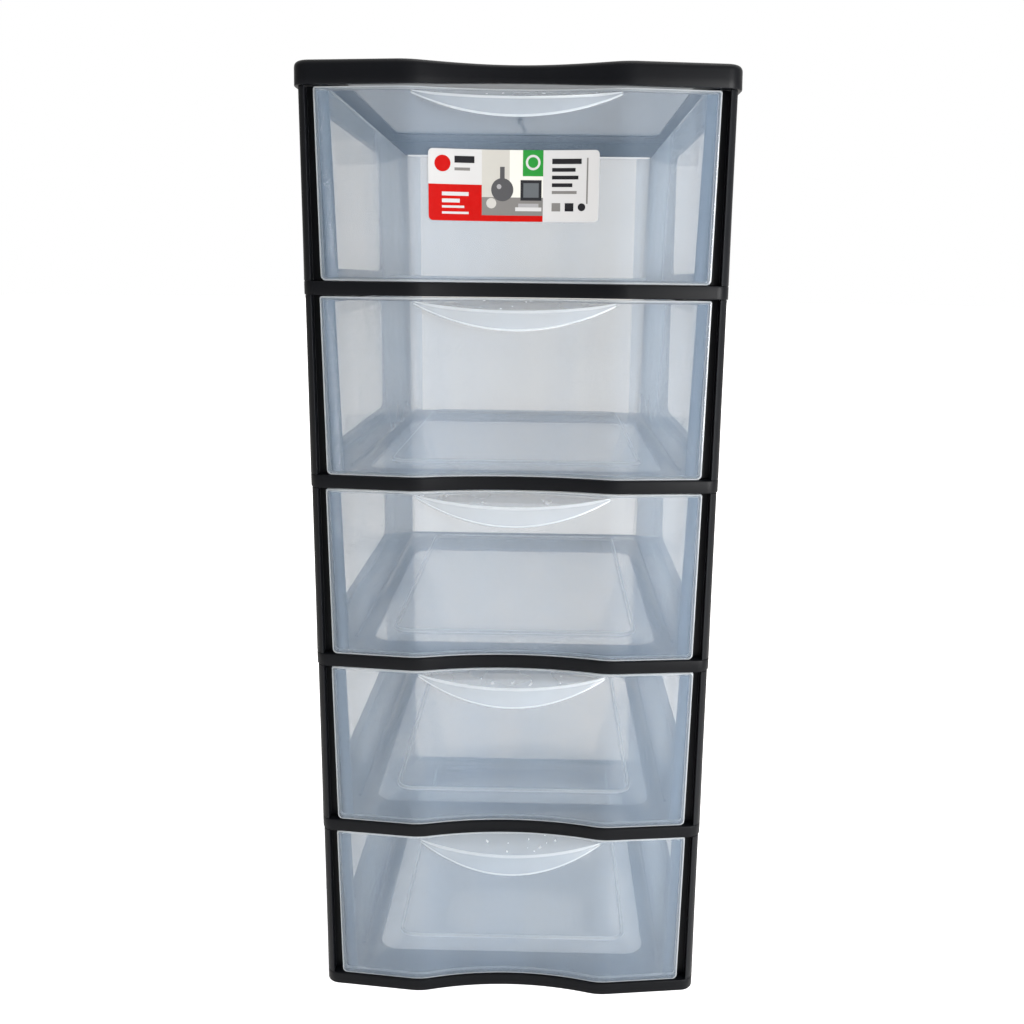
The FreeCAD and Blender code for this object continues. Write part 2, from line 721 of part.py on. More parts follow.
def make_lip(name):
    """Make the crescent pull lip as a loft through its sections."""
    shares = [-share for share in reversed(LIP_STATION_SHARES[1:])] + list(LIP_STATION_SHARES)
    sections = []
    for number, share in enumerate(shares, start=1):
        sketch = doc.addObject("Sketcher::SketchObject", f"{name}_section_{number}")
        upright = FreeCAD.Rotation(vec(0, 1), vec(0, 0, 1), vec(1, 0), "XYZ")
        sketch.Placement = FreeCAD.Placement(vec(share * size("lip_span") / 2, 0), upright)
        fill_sketch(sketch, polygon(lip_section(share)))
        sections.append(sketch)
    loft = doc.addObject("Part::Loft", name)
    loft.Sections = sections
    loft.Solid = True
    loft.Ruled = False
    doc.recompute()
    return loft


def make_drawer(name, storey):
    """Make a drawer: box, waved front and pull lip, moulded in one piece."""
    box = make_drawer_box(f"{name}_box")
    middle = size("panel_inset") + size("panel_thickness") / 2
    front = front_block(middle, HALF_WIDTH, 3 * size("overrun"))
    ahead = bar(f"{name}_ahead", front, "sizes.storey_pitch")
    body = combine("Cut", f"{name}_body", box, ahead)
    parts = (body, make_drawer_panel(f"{name}_panel"), make_lip(f"{name}_lip"))
    drawer = combine("MultiFuse", name, *parts)
    drawer.Label = name
    place(drawer, storey)
    return drawer


def make_label(name, storey):
    """Make the label that lies on the waved face of the first drawer."""
    radius = RECESS_RADIUS + size("panel_inset") - size("label_gap")
    centre_y = size("recess_depth") - RECESS_RADIUS
    left = size("label_shift") - size("label_width") / 2
    right = size("label_shift") + size("label_width") / 2
    side = max(-left, right) + size("overrun")
    arcs = []
    for reach in (radius - size("label_thickness"), radius):
        end = vec(side, centre_y + math.sqrt(reach**2 - side**2))
        arcs.append((end, vec(0, centre_y + reach), vec(-end.x, end.y)))
    skin = [Part.Arc(*arc) for arc in arcs]
    skin += [Part.LineSegment(arcs[0][0], arcs[1][0]), Part.LineSegment(arcs[0][2], arcs[1][2])]
    foot = size("rim_height") + size("label_rise")
    shape = plain_box(left, right, foot, foot + size("label_height"))
    depth = "sizes.recess_depth + sizes.panel_thickness + 3 * sizes.overrun"
    label = combine(
        "MultiCommon",
        name,
        bar(f"{name}_skin", skin, "sizes.storey_pitch"),
        bar(f"{name}_shape", shape, depth, "XZ", -size("overrun")),
    )
    label.Label = name
    place(label, storey)
    return label


def make_tower():
    """Make every piece of the tower and return them."""
    pieces = []
    for number in range(1, STOREYS + 1):
        storey = STOREYS - number
        pieces.append(make_shelf_frame(f"shelf_frame_{number}", storey))
        pieces.append(make_side_frame(f"side_frame_left_{number}", storey, -1))
        pieces.append(make_side_frame(f"side_frame_right_{number}", storey, 1))
        pieces.append(make_drawer(f"drawer_{number}", storey))
    pieces.append(make_top_frame("top_frame", STOREYS))
    pieces.append(make_top_panel("top_panel", STOREYS))
    pieces.append(make_label("front_label", STOREYS - 1))
    return pieces


def write_parts(pieces):
    """Check every object and every shape, then write one file for each piece."""
    doc.recompute()
    failed = [item.Name for item in doc.Objects if {"Invalid", "Error"} & set(item.State)]
    for piece in pieces:
        shape = piece.Shape
        if shape.isNull() or not shape.isValid() or len(shape.Solids) != 1:
            failed.append(piece.Label)
    if failed:
        raise ValueError(f"failed: {failed}")
    os.makedirs("parts", exist_ok=True)
    for piece in pieces:
        piece.Shape.exportStep(os.path.join("parts", f"{piece.Label}.step"))
        box = piece.Shape.BoundBox
        print(f"{piece.Label}: {box.XLength:.1f} x {box.YLength:.1f} x {box.ZLength:.1f} mm")


write_parts(make_tower())
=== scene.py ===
import logging
import math
from collections.abc import Callable, Iterable, Sequence
from dataclasses import dataclass, field, replace
from enum import Enum, IntEnum
from typing import ClassVar

import bmesh
import bpy
from mathutils import Matrix, Vector
from mathutils.geometry import tessellate_polygon


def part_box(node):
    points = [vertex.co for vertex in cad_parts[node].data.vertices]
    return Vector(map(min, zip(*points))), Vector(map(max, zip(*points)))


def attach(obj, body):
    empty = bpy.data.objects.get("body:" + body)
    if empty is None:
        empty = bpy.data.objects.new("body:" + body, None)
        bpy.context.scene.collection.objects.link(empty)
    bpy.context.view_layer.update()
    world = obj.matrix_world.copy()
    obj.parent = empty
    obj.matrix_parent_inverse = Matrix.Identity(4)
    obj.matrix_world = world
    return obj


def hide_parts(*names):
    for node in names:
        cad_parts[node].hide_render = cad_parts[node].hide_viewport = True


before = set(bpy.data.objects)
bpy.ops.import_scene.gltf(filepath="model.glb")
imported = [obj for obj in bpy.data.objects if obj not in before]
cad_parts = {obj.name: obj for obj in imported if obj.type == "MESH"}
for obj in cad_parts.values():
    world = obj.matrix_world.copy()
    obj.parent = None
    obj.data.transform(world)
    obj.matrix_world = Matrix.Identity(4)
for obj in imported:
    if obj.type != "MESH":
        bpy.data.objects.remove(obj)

log = logging.getLogger("drawer_tower")

MM = 0.001
QUARTER = math.pi / 2
STOREYS = 5
LID_NODE = "top_frame"

Material = bpy.types.Material
Socket = bpy.types.NodeSocket
Colour = tuple[float, float, float]
PlanPlace = tuple[float, float]
PlanPoint = tuple[float, float, float, float]
Place = tuple[float, float, float]


class Slot(Enum):
    """The record's material slots, one for each kind of piece."""

    FRAME = "frame_plastic"
    DRAWER = "drawer_plastic"
    PANEL = "panel_plastic"
    LABEL = "label_film"


class Hand(Enum):
    """Which side of the tower a side frame stands on."""

    LEFT = -1
    RIGHT = 1


class Coat(IntEnum):
    """The numbers of a drawer's finishes."""

    FRONT = 0
    EDGE = 1
    BOX = 2
    LIP = 3
    FLOOR = 4
    ROOF = 5


def sum_method(operation: str, swapped: bool = False) -> Callable[["Term", object], "Term"]:
    """Return a Term's method that takes another value into one Math node.

    Args:
        operation: The Math node's operation.
        swapped: Whether the other value comes first.

    Returns:
        The method.
    """

    def method(self: "Term", other: object) -> "Term":
        """Return the operation's result for the term and another value."""
        return self.math(operation, *((other, self) if swapped else (self, other)))

    return method


class Term:
    """A number on its way through a node sheet, on which sums can be written."""

    def __init__(self, sheet: "NodeSheet", socket: Socket) -> None:
        """Keep the sheet and the socket that the number comes from."""
        self.sheet = sheet
        self.socket = socket

    def math(self, operation: str, *values: object) -> "Term":
        """Add one Math node of an operation, fed with the values, and return its result."""
        feeds = dict(enumerate(values))
        return Term(self.sheet, self.sheet.result("Math", feeds, {"operation": operation}))

    __add__ = __radd__ = sum_method("ADD")
    __sub__ = sum_method("SUBTRACT")
    __rsub__ = sum_method("SUBTRACT", swapped=True)
    __mul__ = __rmul__ = sum_method("MULTIPLY")
    __pow__ = sum_method("POWER")
    __gt__ = sum_method("GREATER_THAN")
    __lt__ = sum_method("LESS_THAN")
    most = sum_method("MAXIMUM")
    least = sum_method("MINIMUM")

    def size(self) -> "Term":
        """Return the number without its sign."""
        return self.math("ABSOLUTE", self)

    def wave(self) -> "Term":
        """Return the sine of the number."""
        return self.math("SINE", self)

    def held(self) -> "Term":
        """Return the number held between 0 and 1."""
        return self.most(0.0).least(1.0)

    def ramp(self, start: float, gain: float) -> "Term":
        """Return how far the number is past a start, times a gain, held between 0 and 1."""
        return ((self - start) * gain).held()


class NodeSheet:
    """The node sheet of one finish, which draws its nodes and joins them."""

    def __init__(self, owner: bpy.types.ID) -> None:
        """Clear the owner's nodes.

        Args:
            owner: The material or world that the sheet belongs to.
        """
        owner.use_nodes = True
        self.tree = owner.node_tree
        self.tree.nodes.clear()

    def draw(
        self,
        kind: str,
        settings: dict[str, object] | None = None,
        feeds: dict[str | int, object] | None = None,
    ) -> bpy.types.Node:
        """Draw one node.

        Args:
            kind: The node's type.
            settings: Its own settings, set first.
            feeds: The values or links of its sockets.

        Returns:
            The node.
        """
        node = self.tree.nodes.new(kind)
        for name, value in (settings or {}).items():
            setattr(node, name, value)
        for name, value in (feeds or {}).items():
            self.feed(node.inputs[name], value)
        return node

    def feed(self, socket: Socket, value: object) -> None:
        """Link a socket to a term or another socket, or set its value."""
        if isinstance(value, Term):
            value = value.socket
        if isinstance(value, Socket):
            self.tree.links.new(value, socket)
        elif isinstance(value, tuple) and len(value) == 3 and socket.type == "RGBA":
            socket.default_value = (*value, 1.0)
        else:
            socket.default_value = value

    def result(
        self, kind: str, feeds: dict[str | int, object], settings: dict[str, object] | None = None
    ) -> Socket:
        """Draw one node of a kind, fed and set, and return its first output."""
        return self.draw(f"ShaderNode{kind}", settings, feeds).outputs[0]

    def place(self, kind: str = "Object") -> Socket:
        """Return the place on the piece, in metres, or another kind of coordinate."""
        return self.draw("ShaderNodeTexCoord").outputs[kind]

    def axes(self, kind: str = "Object") -> tuple[Term, Term, Term]:
        """Return the three numbers of the place, or of another kind of coordinate."""
        x, y, z = self.draw("ShaderNodeSeparateXYZ", feeds={0: self.place(kind)}).outputs
        return Term(self, x), Term(self, y), Term(self, z)

    def cloud(
        self,
        scale: float,
        detail: float = 2.0,
        stretch: Place = (1.0, 1.0, 1.0),
        shift: float = 0.0,
    ) -> Term:
        """Return soft noise between 0 and 1.

        Args:
            scale: How many lumps to the metre.
            detail: How many finer layers lie over them.
            stretch: How much closer the lumps lie along each axis.
            shift: How far along the noise is read, so that two clouds differ.

        Returns:
            The noise.
        """
        feeds = {0: self.place(), 1: stretch, 2: (shift, shift, shift)}
        place = self.result("VectorMath", feeds, {"operation": "MULTIPLY_ADD"})
        feeds = {"Vector": place, "Scale": scale, "Detail": detail}
        return Term(self, self.result("TexNoise", feeds))

    def open_view(self) -> Term:
        """Return 1 where the camera sees a place of the stage with nothing before it, else 0."""
        path = self.draw("ShaderNodeLightPath").outputs
        bare = Term(self, path["Transparent Depth"]) < 0.5
        return Term(self, path["Is Camera Ray"]) * bare

    def tint(self, share: object, first: object, second: object) -> Socket:
        """Return a colour that goes from the first to the second by a share."""
        feeds = {0: share, 6: first, 7: second}
        return self.draw("ShaderNodeMix", {"data_type": "RGBA"}, feeds).outputs[2]

    def relief(self, height: Term, distance: float, strength: float = 1.0) -> Socket:
        """Return the surface's direction, raised and sunk by a height.

        Args:
            height: The height, 0 to 1.
            distance: How far 1 rises, in metres.
            strength: How much of it shows.

        Returns:
            The direction for a shader's Normal.
        """
        feeds = {"Height": height, "Distance": distance, "Strength": strength}
        return self.result("Bump", feeds)

    def blend(self, share: object, first: object, second: object) -> Socket:
        """Return a shader that goes from the first to the second by a share."""
        return self.result("MixShader", {0: share, 1: first, 2: second})

    def close(self, kind: str, shader: Socket) -> None:
        """Join the shader to the output, of a material or of a world."""
        self.draw(f"ShaderNodeOutput{kind}", feeds={"Surface": shader})


class Finish:
    """A finish that a material is made from."""

    def shader(self, sheet: NodeSheet) -> Socket:
        """Draw the finish on a sheet and return its shader."""
        raise NotImplementedError

    def material(self, name: str) -> Material:
        """Return the finish as a material.

        Args:
            name: The material's name.

        Returns:
            The material.
        """
        material = bpy.data.materials.new(name)
        sheet = NodeSheet(material)
        sheet.close("Material", self.shader(sheet))
        return material


@dataclass(frozen=True)
class SatinPlastic(Finish):
    """Charcoal moulded plastic: a fine grain, faint flow clouds, edges rubbed a little paler."""

    colour: Colour = (0.0028, 0.0032, 0.0045)
    cloudy: Colour = (0.0044, 0.005, 0.0065)
    rubbed: Colour = (0.017, 0.019, 0.023)
    roughness: float = 0.4
    specular: float = 0.13
    grain: float = 1500.0
    worn_edge: tuple[float, float] = (0.53, 9.0)

    def shader(self, sheet: NodeSheet) -> Socket:
        """Draw the plastic and its grain."""
        flow = sheet.cloud(9.0, 3.0, (1.0, 1.0, 0.6))
        scuff = sheet.cloud(160.0, 4.0, (1.0, 1.0, 0.35), 3.0)
        grain = sheet.cloud(self.grain, 2.0)
        point = Term(sheet, sheet.draw("ShaderNodeNewGeometry").outputs["Pointiness"])
        edge = point.ramp(*self.worn_edge) * (0.35 + 0.65 * scuff)
        body = sheet.tint(flow, self.colour, self.cloudy)
        feeds = {
            "Base Color": sheet.tint(edge, body, self.rubbed),
            "Roughness": self.roughness + (flow - 0.5) * 0.1 + (scuff - 0.5) * 0.12,
            "Specular IOR Level": self.specular,
            "Normal": sheet.relief(grain * 0.7 + flow * 0.3, 0.00012, 0.35),
        }
        return sheet.result("BsdfPrincipled", feeds)


@dataclass(frozen=True)
class ClearPlastic(Finish):
    """Clear moulded plastic: a cool haze that glows in the light, soft waves, painted highlight
    specks, and, where set, a painted brightening of the upper drawers' rear flanks.
    """

    haze: float = 0.18
    slant: float = 0.6
    steep: float = 14.0
    border: tuple[float, float] = (0.1235, 220.0)
    thickening: float = 0.04
    colour: Colour = (0.46, 0.65, 0.93)
    pale: Colour = (0.58, 0.75, 0.95)
    glow: Colour = (0.64, 0.79, 0.97)
    passed: Colour = (1.0, 0.985, 0.962)
    through: float = 0.5
    roughness: float = 0.3
    waves: float = 0.0005
    gloss: float = 0.6
    # Level over which noise paints white highlight specks; 1 paints none.
    painted_glint_level: float = 1.0
    # How much painted brightening the upper drawers' rear flanks get.
    rear_painted_light: float = 0.0
    rear: tuple[float, float] = (-0.03, 20.0)
    upper: tuple[float, float] = (0.28, 4.0)
    flank: float = 0.112

    def shader(self, sheet: NodeSheet) -> Socket:
        """Draw what the plastic lets through, scatters and mirrors."""
        flow = sheet.cloud(11.0, 2.0, (1.0, 0.7, 0.5))
        streak = sheet.cloud(30.0, 1.0, (1.0, 1.0, 0.12), 5.0)
        dust = sheet.cloud(420.0, 3.0, shift=2.0)
        weight = sheet.draw("ShaderNodeLayerWeight", feeds={"Blend": 0.5}).outputs
        veil = (Term(sheet, weight["Facing"]) ** self.steep) * self.slant
        x, y, z = sheet.axes()
        rims = x.size().ramp(*self.border) * self.thickening
        # Painted light: on the rear halves of the upper drawers' flanks the plastic is made hazier
        # and whiter, brightness painted in by place and height.
        behind = y.ramp(*self.rear) * (x.size() > self.flank) * z.ramp(*self.upper)
        behind *= self.rear_painted_light
        # Painted highlights: where fine noise passes a level, the plastic turns white and nearly
        # opaque, in small specks.
        painted_glints = sheet.cloud(300.0, 0.5, (0.8, 0.5, 1.0), 9.0) > self.painted_glint_level
        drift = (streak - 0.5) * 0.1 + (flow - 0.5) * 0.06
        opacity = (self.haze + veil + drift + rims + behind + painted_glints * 0.8).held()
        bend = sheet.relief(flow * 0.92 + streak * 0.08, self.waves, 0.6)
        tinted = sheet.tint(flow, self.colour, self.pale)
        feeds = {
            # Painted highlight specks and the painted rear brightening tint the haze towards white.
            "Base Color": sheet.tint((painted_glints + behind * 3.0).held(), tinted, (1.0, 1.0, 1.0)),
            "Roughness": self.roughness + dust * 0.12,
            "Normal": bend,
        }
        lit = sheet.result("BsdfPrincipled", feeds)
        inner = sheet.result("BsdfTranslucent", {"Color": self.glow})
        open_air = sheet.result("BsdfTransparent", {"Color": self.passed})
        seen = sheet.blend(opacity, open_air, sheet.blend(self.through, lit, inner))
        rim = Term(sheet, sheet.result("Fresnel", {"IOR": 1.45, "Normal": bend}))
        shine = sheet.result("BsdfGlossy", {"Roughness": 0.08, "Normal": bend})
        return sheet.blend(rim * self.gloss, seen, shine)


@dataclass(frozen=True)
class FrostedPlastic(Finish):
    """The lid's panel: hazy plastic that hides most of what is behind it."""

    haze: float = 0.62
    colour: Colour = (0.22, 0.245, 0.275)
    pale: Colour = (0.33, 0.36, 0.38)
    glow: Colour = (0.22, 0.24, 0.265)
    roughness: float = 0.34
    sprue: tuple[float, float] = (-0.004, 0.057)
    thread: tuple[float, float] = (0.05, 0.15)
    thread_wave: tuple[float, float] = (62.0, 0.0022)
    thread_half: float = 0.0016
    dark: Colour = (0.03, 0.03, 0.035)

    def shader(self, sheet: NodeSheet) -> Socket:
        """Draw the panel's haze, the mark of its gate and a dark thread beside it."""
        flow = sheet.cloud(7.0, 3.0, (0.6, 1.0, 1.0))
        sweep = sheet.cloud(26.0, 3.0, (0.3, 1.0, 1.0), 4.0)
        x, y, _ = sheet.axes()
        reach = ((x - self.sprue[0]) ** 2.0 + (y - self.sprue[1]) ** 2.0) ** 0.5
        mark = (1.0 - reach * 45.0).held() * sheet.cloud(190.0, 4.0, shift=7.0)
        sway = (y * self.thread_wave[0]).wave() * self.thread_wave[1]
        aside = (x - self.sprue[0] - sway).size()
        thread = (aside < self.thread_half) * (y > self.thread[0]) * (y < self.thread[1])
        cloudy = sheet.tint(flow * 0.7 + sweep * 0.3, self.colour, self.pale)
        feeds = {
            "Base Color": sheet.tint((thread * 0.8 + mark * 0.7).held(), cloudy, self.dark),
            "Roughness": self.roughness + (sweep - 0.5) * 0.15,
            "Normal": sheet.relief(sweep * 0.6 + mark, 0.0008, 0.5),
        }
        lit = sheet.result("BsdfPrincipled", feeds)
        inner = sheet.result("BsdfTranslucent", {"Color": self.glow})
        opacity = (self.haze + (flow - 0.5) * 0.12 + mark * 0.3 + thread * 0.3).held()
        open_air = sheet.result("BsdfTransparent", {})
        return sheet.blend(opacity, open_air, sheet.blend(0.5, lit, inner))


@dataclass(frozen=True)
class PrintedFilm(Finish):
    """The label's print: a plain design of coloured blocks and bars on white film."""

    left: float
    foot: float
    paper: Colour = (0.5, 0.5, 0.505)
    red: Colour = (0.41, 0.002, 0.001)
    green: Colour = (0.02, 0.22, 0.035)
    ink: Colour = (0.012, 0.012, 0.015)
    grey: Colour = (0.17, 0.165, 0.16)
    stone: Colour = (0.44, 0.43, 0.4)
    roughness: float = 0.55

    def shader(self, sheet: NodeSheet) -> Socket:
        """Draw the print, block by block and disc by disc."""
        across, _, up = sheet.axes()
        across = (across - self.left) * 1000.0
        up = (up - self.foot) * 1000.0
        blocks = (
            ((36.0, 4.0, 78.0, 47.0), self.stone),
            ((55.0, 15.0, 78.0, 47.0), (0.62, 0.62, 0.58)),
            ((36.0, 4.0, 78.0, 16.0), self.grey),
            ((64.0, 30.0, 78.0, 47.0), self.green),
            ((62.5, 14.0, 77.0, 27.5), (0.02, 0.02, 0.024)),
            ((64.5, 16.0, 75.0, 25.5), (0.1, 0.11, 0.12)),
            ((48.4, 27.0, 51.6, 36.0), (0.07, 0.07, 0.075)),
            ((59.0, 7.0, 77.0, 9.5), self.paper),
            ((61.0, 9.5, 75.0, 12.0), (0.3, 0.3, 0.31)),
            ((0.0, 0.0, 36.0, 24.0), self.red),
            ((0.0, 0.0, 78.0, 4.0), self.red),
            ((17.5, 38.0, 31.0, 42.5), self.ink),
            ((17.5, 33.0, 28.0, 35.0), self.grey),
            ((9.0, 16.5, 27.0, 19.0), self.paper),
            ((9.0, 12.0, 21.0, 14.5), self.paper),
            ((9.0, 8.5, 24.0, 10.0), self.paper),
            ((9.0, 4.5, 27.0, 6.0), self.paper),
            ((84.0, 38.0, 104.0, 41.5), self.ink),
            ((84.0, 33.0, 100.0, 35.5), self.ink),
            ((84.0, 28.0, 102.0, 30.5), self.ink),
            ((84.0, 23.0, 98.0, 25.5), self.ink),
            ((84.0, 18.5, 101.0, 20.5), self.grey),
            ((107.5, 12.0, 108.6, 42.0), self.grey),
            ((84.0, 7.0, 90.0, 12.5), self.grey),
            ((93.0, 7.0, 99.0, 12.5), self.ink),
        )
        discs = (
            (50.0, 21.0, 7.6, (0.07, 0.07, 0.075)),
            (47.8, 23.0, 1.6, (0.3, 0.3, 0.31)),
            (42.5, 12.0, 3.4, (0.45, 0.44, 0.42)),
            (9.5, 37.5, 5.4, self.red),
            (71.0, 39.0, 5.0, self.paper),
            (71.0, 39.0, 3.5, self.green),
            (104.5, 9.8, 2.6, self.ink),
        )
        colour: object = self.paper
        for (low_x, low_z, high_x, high_z), ink in blocks:
            inside = (across > low_x) * (across < high_x) * (up > low_z) * (up < high_z)
            colour = sheet.tint(inside, colour, ink)
        for middle_x, middle_z, radius, ink in discs:
            reach = (across - middle_x) ** 2.0 + (up - middle_z) ** 2.0
            colour = sheet.tint(reach < radius**2, colour, ink)
        worn = sheet.cloud(300.0, 4.0)
        feeds = {
            "Base Color": sheet.tint(worn * 0.015, colour, self.stone),
            "Roughness": self.roughness + (worn - 0.5) * 0.2,
            "Specular IOR Level": 0.06,
            "Normal": sheet.relief(sheet.cloud(35.0), 0.0003, 0.3),
        }
        return sheet.result("BsdfPrincipled", feeds)


@dataclass(frozen=True)
class PaleFloor(Finish):
    """A plain, matt, pale studio floor, white in open view and greyer behind the plastic, with a
    painted glow round the tower that lights the drawers from below.
    """

    colour: Colour = (0.87, 0.86, 0.845)
    white: Colour = (0.8, 0.8, 0.82)
    # The painted glow round the tower's foot: its colour near it, far off, and how fast it fades.
    near: Colour = (0.36, 0.36, 0.36)
    far: Colour = (0.0, 0.0, 0.0)
    fall: tuple[float, float] = (1.6, 1.2)

    def shader(self, sheet: NodeSheet) -> Socket:
        """Draw the floor, its glow white in open view and elsewhere a painted glow round the tower.
        """
        soft = sheet.cloud(3.0)
        x, y, _ = sheet.axes()
        reach = (x**2.0 + y**2.0) ** 0.5
        # Painted glow: out of open view the floor glows round the tower's foot and fades outwards;
        # it lights the drawers from below and shows through the plastic.
        beneath = sheet.tint((self.fall[0] - reach * self.fall[1]).held(), self.far, self.near)
        feeds = {
            "Base Color": sheet.tint(soft * 0.15, self.colour, (0.82, 0.82, 0.82)),
            "Roughness": 0.9 - soft * 0.05,
            "Specular IOR Level": 0.1,
            "Emission Color": sheet.tint(sheet.open_view(), beneath, self.white),
            "Emission Strength": 1.0,
        }
        return sheet.result("BsdfPrincipled", feeds)


class Shell:
    """The points and faces of one piece, drawn in the millimetres of its own storey."""

    def __init__(self, origin: Vector) -> None:
        """Start an empty shell.

        Args:
            origin: Where the storey's zero lies in the tower, in metres.
        """
        self.origin = origin
        self.points: list[Vector] = []
        self.faces: list[tuple[int, ...]] = []
        self.finishes: list[int] = []

    def line(self, places: Iterable[Place]) -> list[int]:
        """Add a row of points and return their numbers."""
        start = len(self.points)
        self.points += [Vector(place) * MM + self.origin for place in places]
        return list(range(start, len(self.points)))

    def face(self, corners: Sequence[int], finish: int = 0) -> None:
        """Add one face of a finish."""
        self.faces.append(tuple(corners))
        self.finishes.append(int(finish))

    def band(
        self, first: list[int], second: list[int], finish: int = 0, closed: bool = True
    ) -> None:
        """Join two rows of points by a band of faces.

        Args:
            first: The first row.
            second: The second row, of as many points.
            finish: Which of the piece's finishes the band has.
            closed: Whether the rows close on themselves.
        """
        count = len(first)
        for index in range(count if closed else count - 1):
            after = (index + 1) % count
            self.face((first[index], first[after], second[after], second[index]), finish)

    def bands(self, rows: Sequence[list[int]], finish: int = 0, closed: bool = True) -> None:
        """Join each row of points to the next."""
        for first, second in zip(rows, rows[1:]):
            self.band(first, second, finish, closed)

    def rise(
        self,
        outline: Sequence[PlanPoint],
        section: Iterable[PlanPlace],
        finish: int = 0,
        closed: bool = True,
    ) -> list[list[int]]:
        """Carry an outline round a section.

        Args:
            outline: The plan outline.
            section: Each ring's inset from the outline and its height.
            finish: Which of the piece's finishes the bands have.
            closed: Whether the outline closes on itself.

        Returns:
            The rings.
        """
        rows = [self.line(ring(outline, inset, height)) for inset, height in section]
        self.bands(rows, finish, closed)
        return rows

    def fill(self, loop: list[int]) -> None:
        """Fill a loop that runs out along its foot and back along its top."""
        count = len(loop) // 2
        self.band(loop[:count], loop[: -count - 1 : -1], closed=False)

    def cap(self, rings: Sequence[list[int]], finish: int = 0) -> None:
        """Fill a flat region.

        Args:
            rings: Its outer ring, and the rings of any holes in it.
            finish: Which of the piece's finishes it has.
        """
        numbers = [number for ring in rings for number in ring]
        outlines = [[self.points[number] * 1000.0 for number in ring] for ring in rings]
        for corners in tessellate_polygon(outlines):
            self.face([numbers[corner] for corner in corners], finish)

    def piece(
        self,
        name: str,
        finishes: Sequence[Material],
        body: str,
        slot: Slot,
        node: str,
    ) -> bpy.types.Object:
        """Make the piece, which stands for its CAD node and rides on a body.

        Args:
            name: The piece's name.
            finishes: Its finishes, in the order of their numbers.
            body: The body that it rides on.
            slot: The record's slot for its finish; not used.
            node: The node that it stands for.

        Returns:
            The piece.
        """
        mesh = bpy.data.meshes.new(name)
        mesh.from_pydata(self.points, [], self.faces)
        mesh.polygons.foreach_set("material_index", self.finishes)
        for finish in finishes:
            mesh.materials.append(finish)
        work = bmesh.new()
        work.from_mesh(mesh)
        bmesh.ops.recalc_face_normals(work, faces=work.faces)
        work.to_mesh(mesh)
        work.free()
        mesh.shade_smooth()
        mesh.set_sharp_from_angle(angle=math.radians(32))
        piece = bpy.data.objects.new(name, mesh)
        bpy.context.scene.collection.objects.link(piece)
        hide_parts(node)
        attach(piece, body)
        log.info("%s: %d points, %d faces", name, len(mesh.vertices), len(mesh.polygons))
        return piece


def ring(outline: Iterable[PlanPoint], inset: float, height: float) -> list[Place]:
    """Return a plan outline set in by an inset, at a height."""
    return [(x - along * inset, y - across * inset, height) for x, y, along, across in outline]


def arc(
    centre: PlanPlace, radius: float, start: float, end: float, steps: int
) -> list[PlanPoint]:
    """Return an arc of a plan outline, bulging away from its centre.

    Args:
        centre: The arc's centre.
        radius: Its radius.
        start: The direction of its first point, in radians from +X.
        end: The direction of its last point.
        steps: How many stretches it has.

    Returns:
        Its points, each with the direction that it faces.
    """
    points = []
    for step in range(steps + 1):
        turn = start + (end - start) * step / steps
        along, across = math.cos(turn), math.sin(turn)
        points.append((centre[0] + radius * along, centre[1] + radius * across, along, across))
    return points


def soft_corners(centres: Iterable[PlanPlace], radius: float, steps: int) -> list[PlanPoint]:
    """Return a rectangle with rounded corners, from the centres of its corners."""
    outline = []
    for turn, centre in enumerate(centres):
        outline += arc(centre, radius, turn * QUARTER, (turn + 1) * QUARTER, steps)
    return outline


def soft_box(x_half: float, front: float, rear: float, radius: float) -> list[PlanPoint]:
    """Return a rectangle with rounded corners in plan, centred across the tower."""
    x, near, far = x_half - radius, front + radius, rear - radius
    return soft_corners(((x, far), (-x, far), (-x, near), (x, near)), radius, 8)


def quarter_steps(steps: int) -> list[tuple[float, float]]:
    """Return 1 - cos and 1 - sin at each step over a quarter turn, which round a section."""
    turns = [QUARTER * step / steps for step in range(steps + 1)]
    return [(1 - math.cos(turn), 1 - math.sin(turn)) for turn in turns]


def corner_fall(radius: float, gap: float) -> float:
    """Return how far a rounded corner has fallen away at a gap from its side."""
    return radius - math.sqrt(max(radius**2 - max(radius - gap, 0.0) ** 2, 0.0))


def spread(half: float, radius: float, shares: Sequence[float], steps: int) -> list[float]:
    """Return places from side to side, closer together over the rounded corners.

    Args:
        half: Half the width.
        radius: The corners' radius.
        shares: Where the places over a corner lie, as shares of its radius.
        steps: How many stretches lie between the corners.

    Returns:
        The places, from -half to half.
    """
    near = [radius * share for share in shares]
    places = [step - half for step in near]
    places += [(half - radius) * (2 * step / steps - 1) for step in range(1, steps)]
    return places + [half - step for step in reversed(near)]


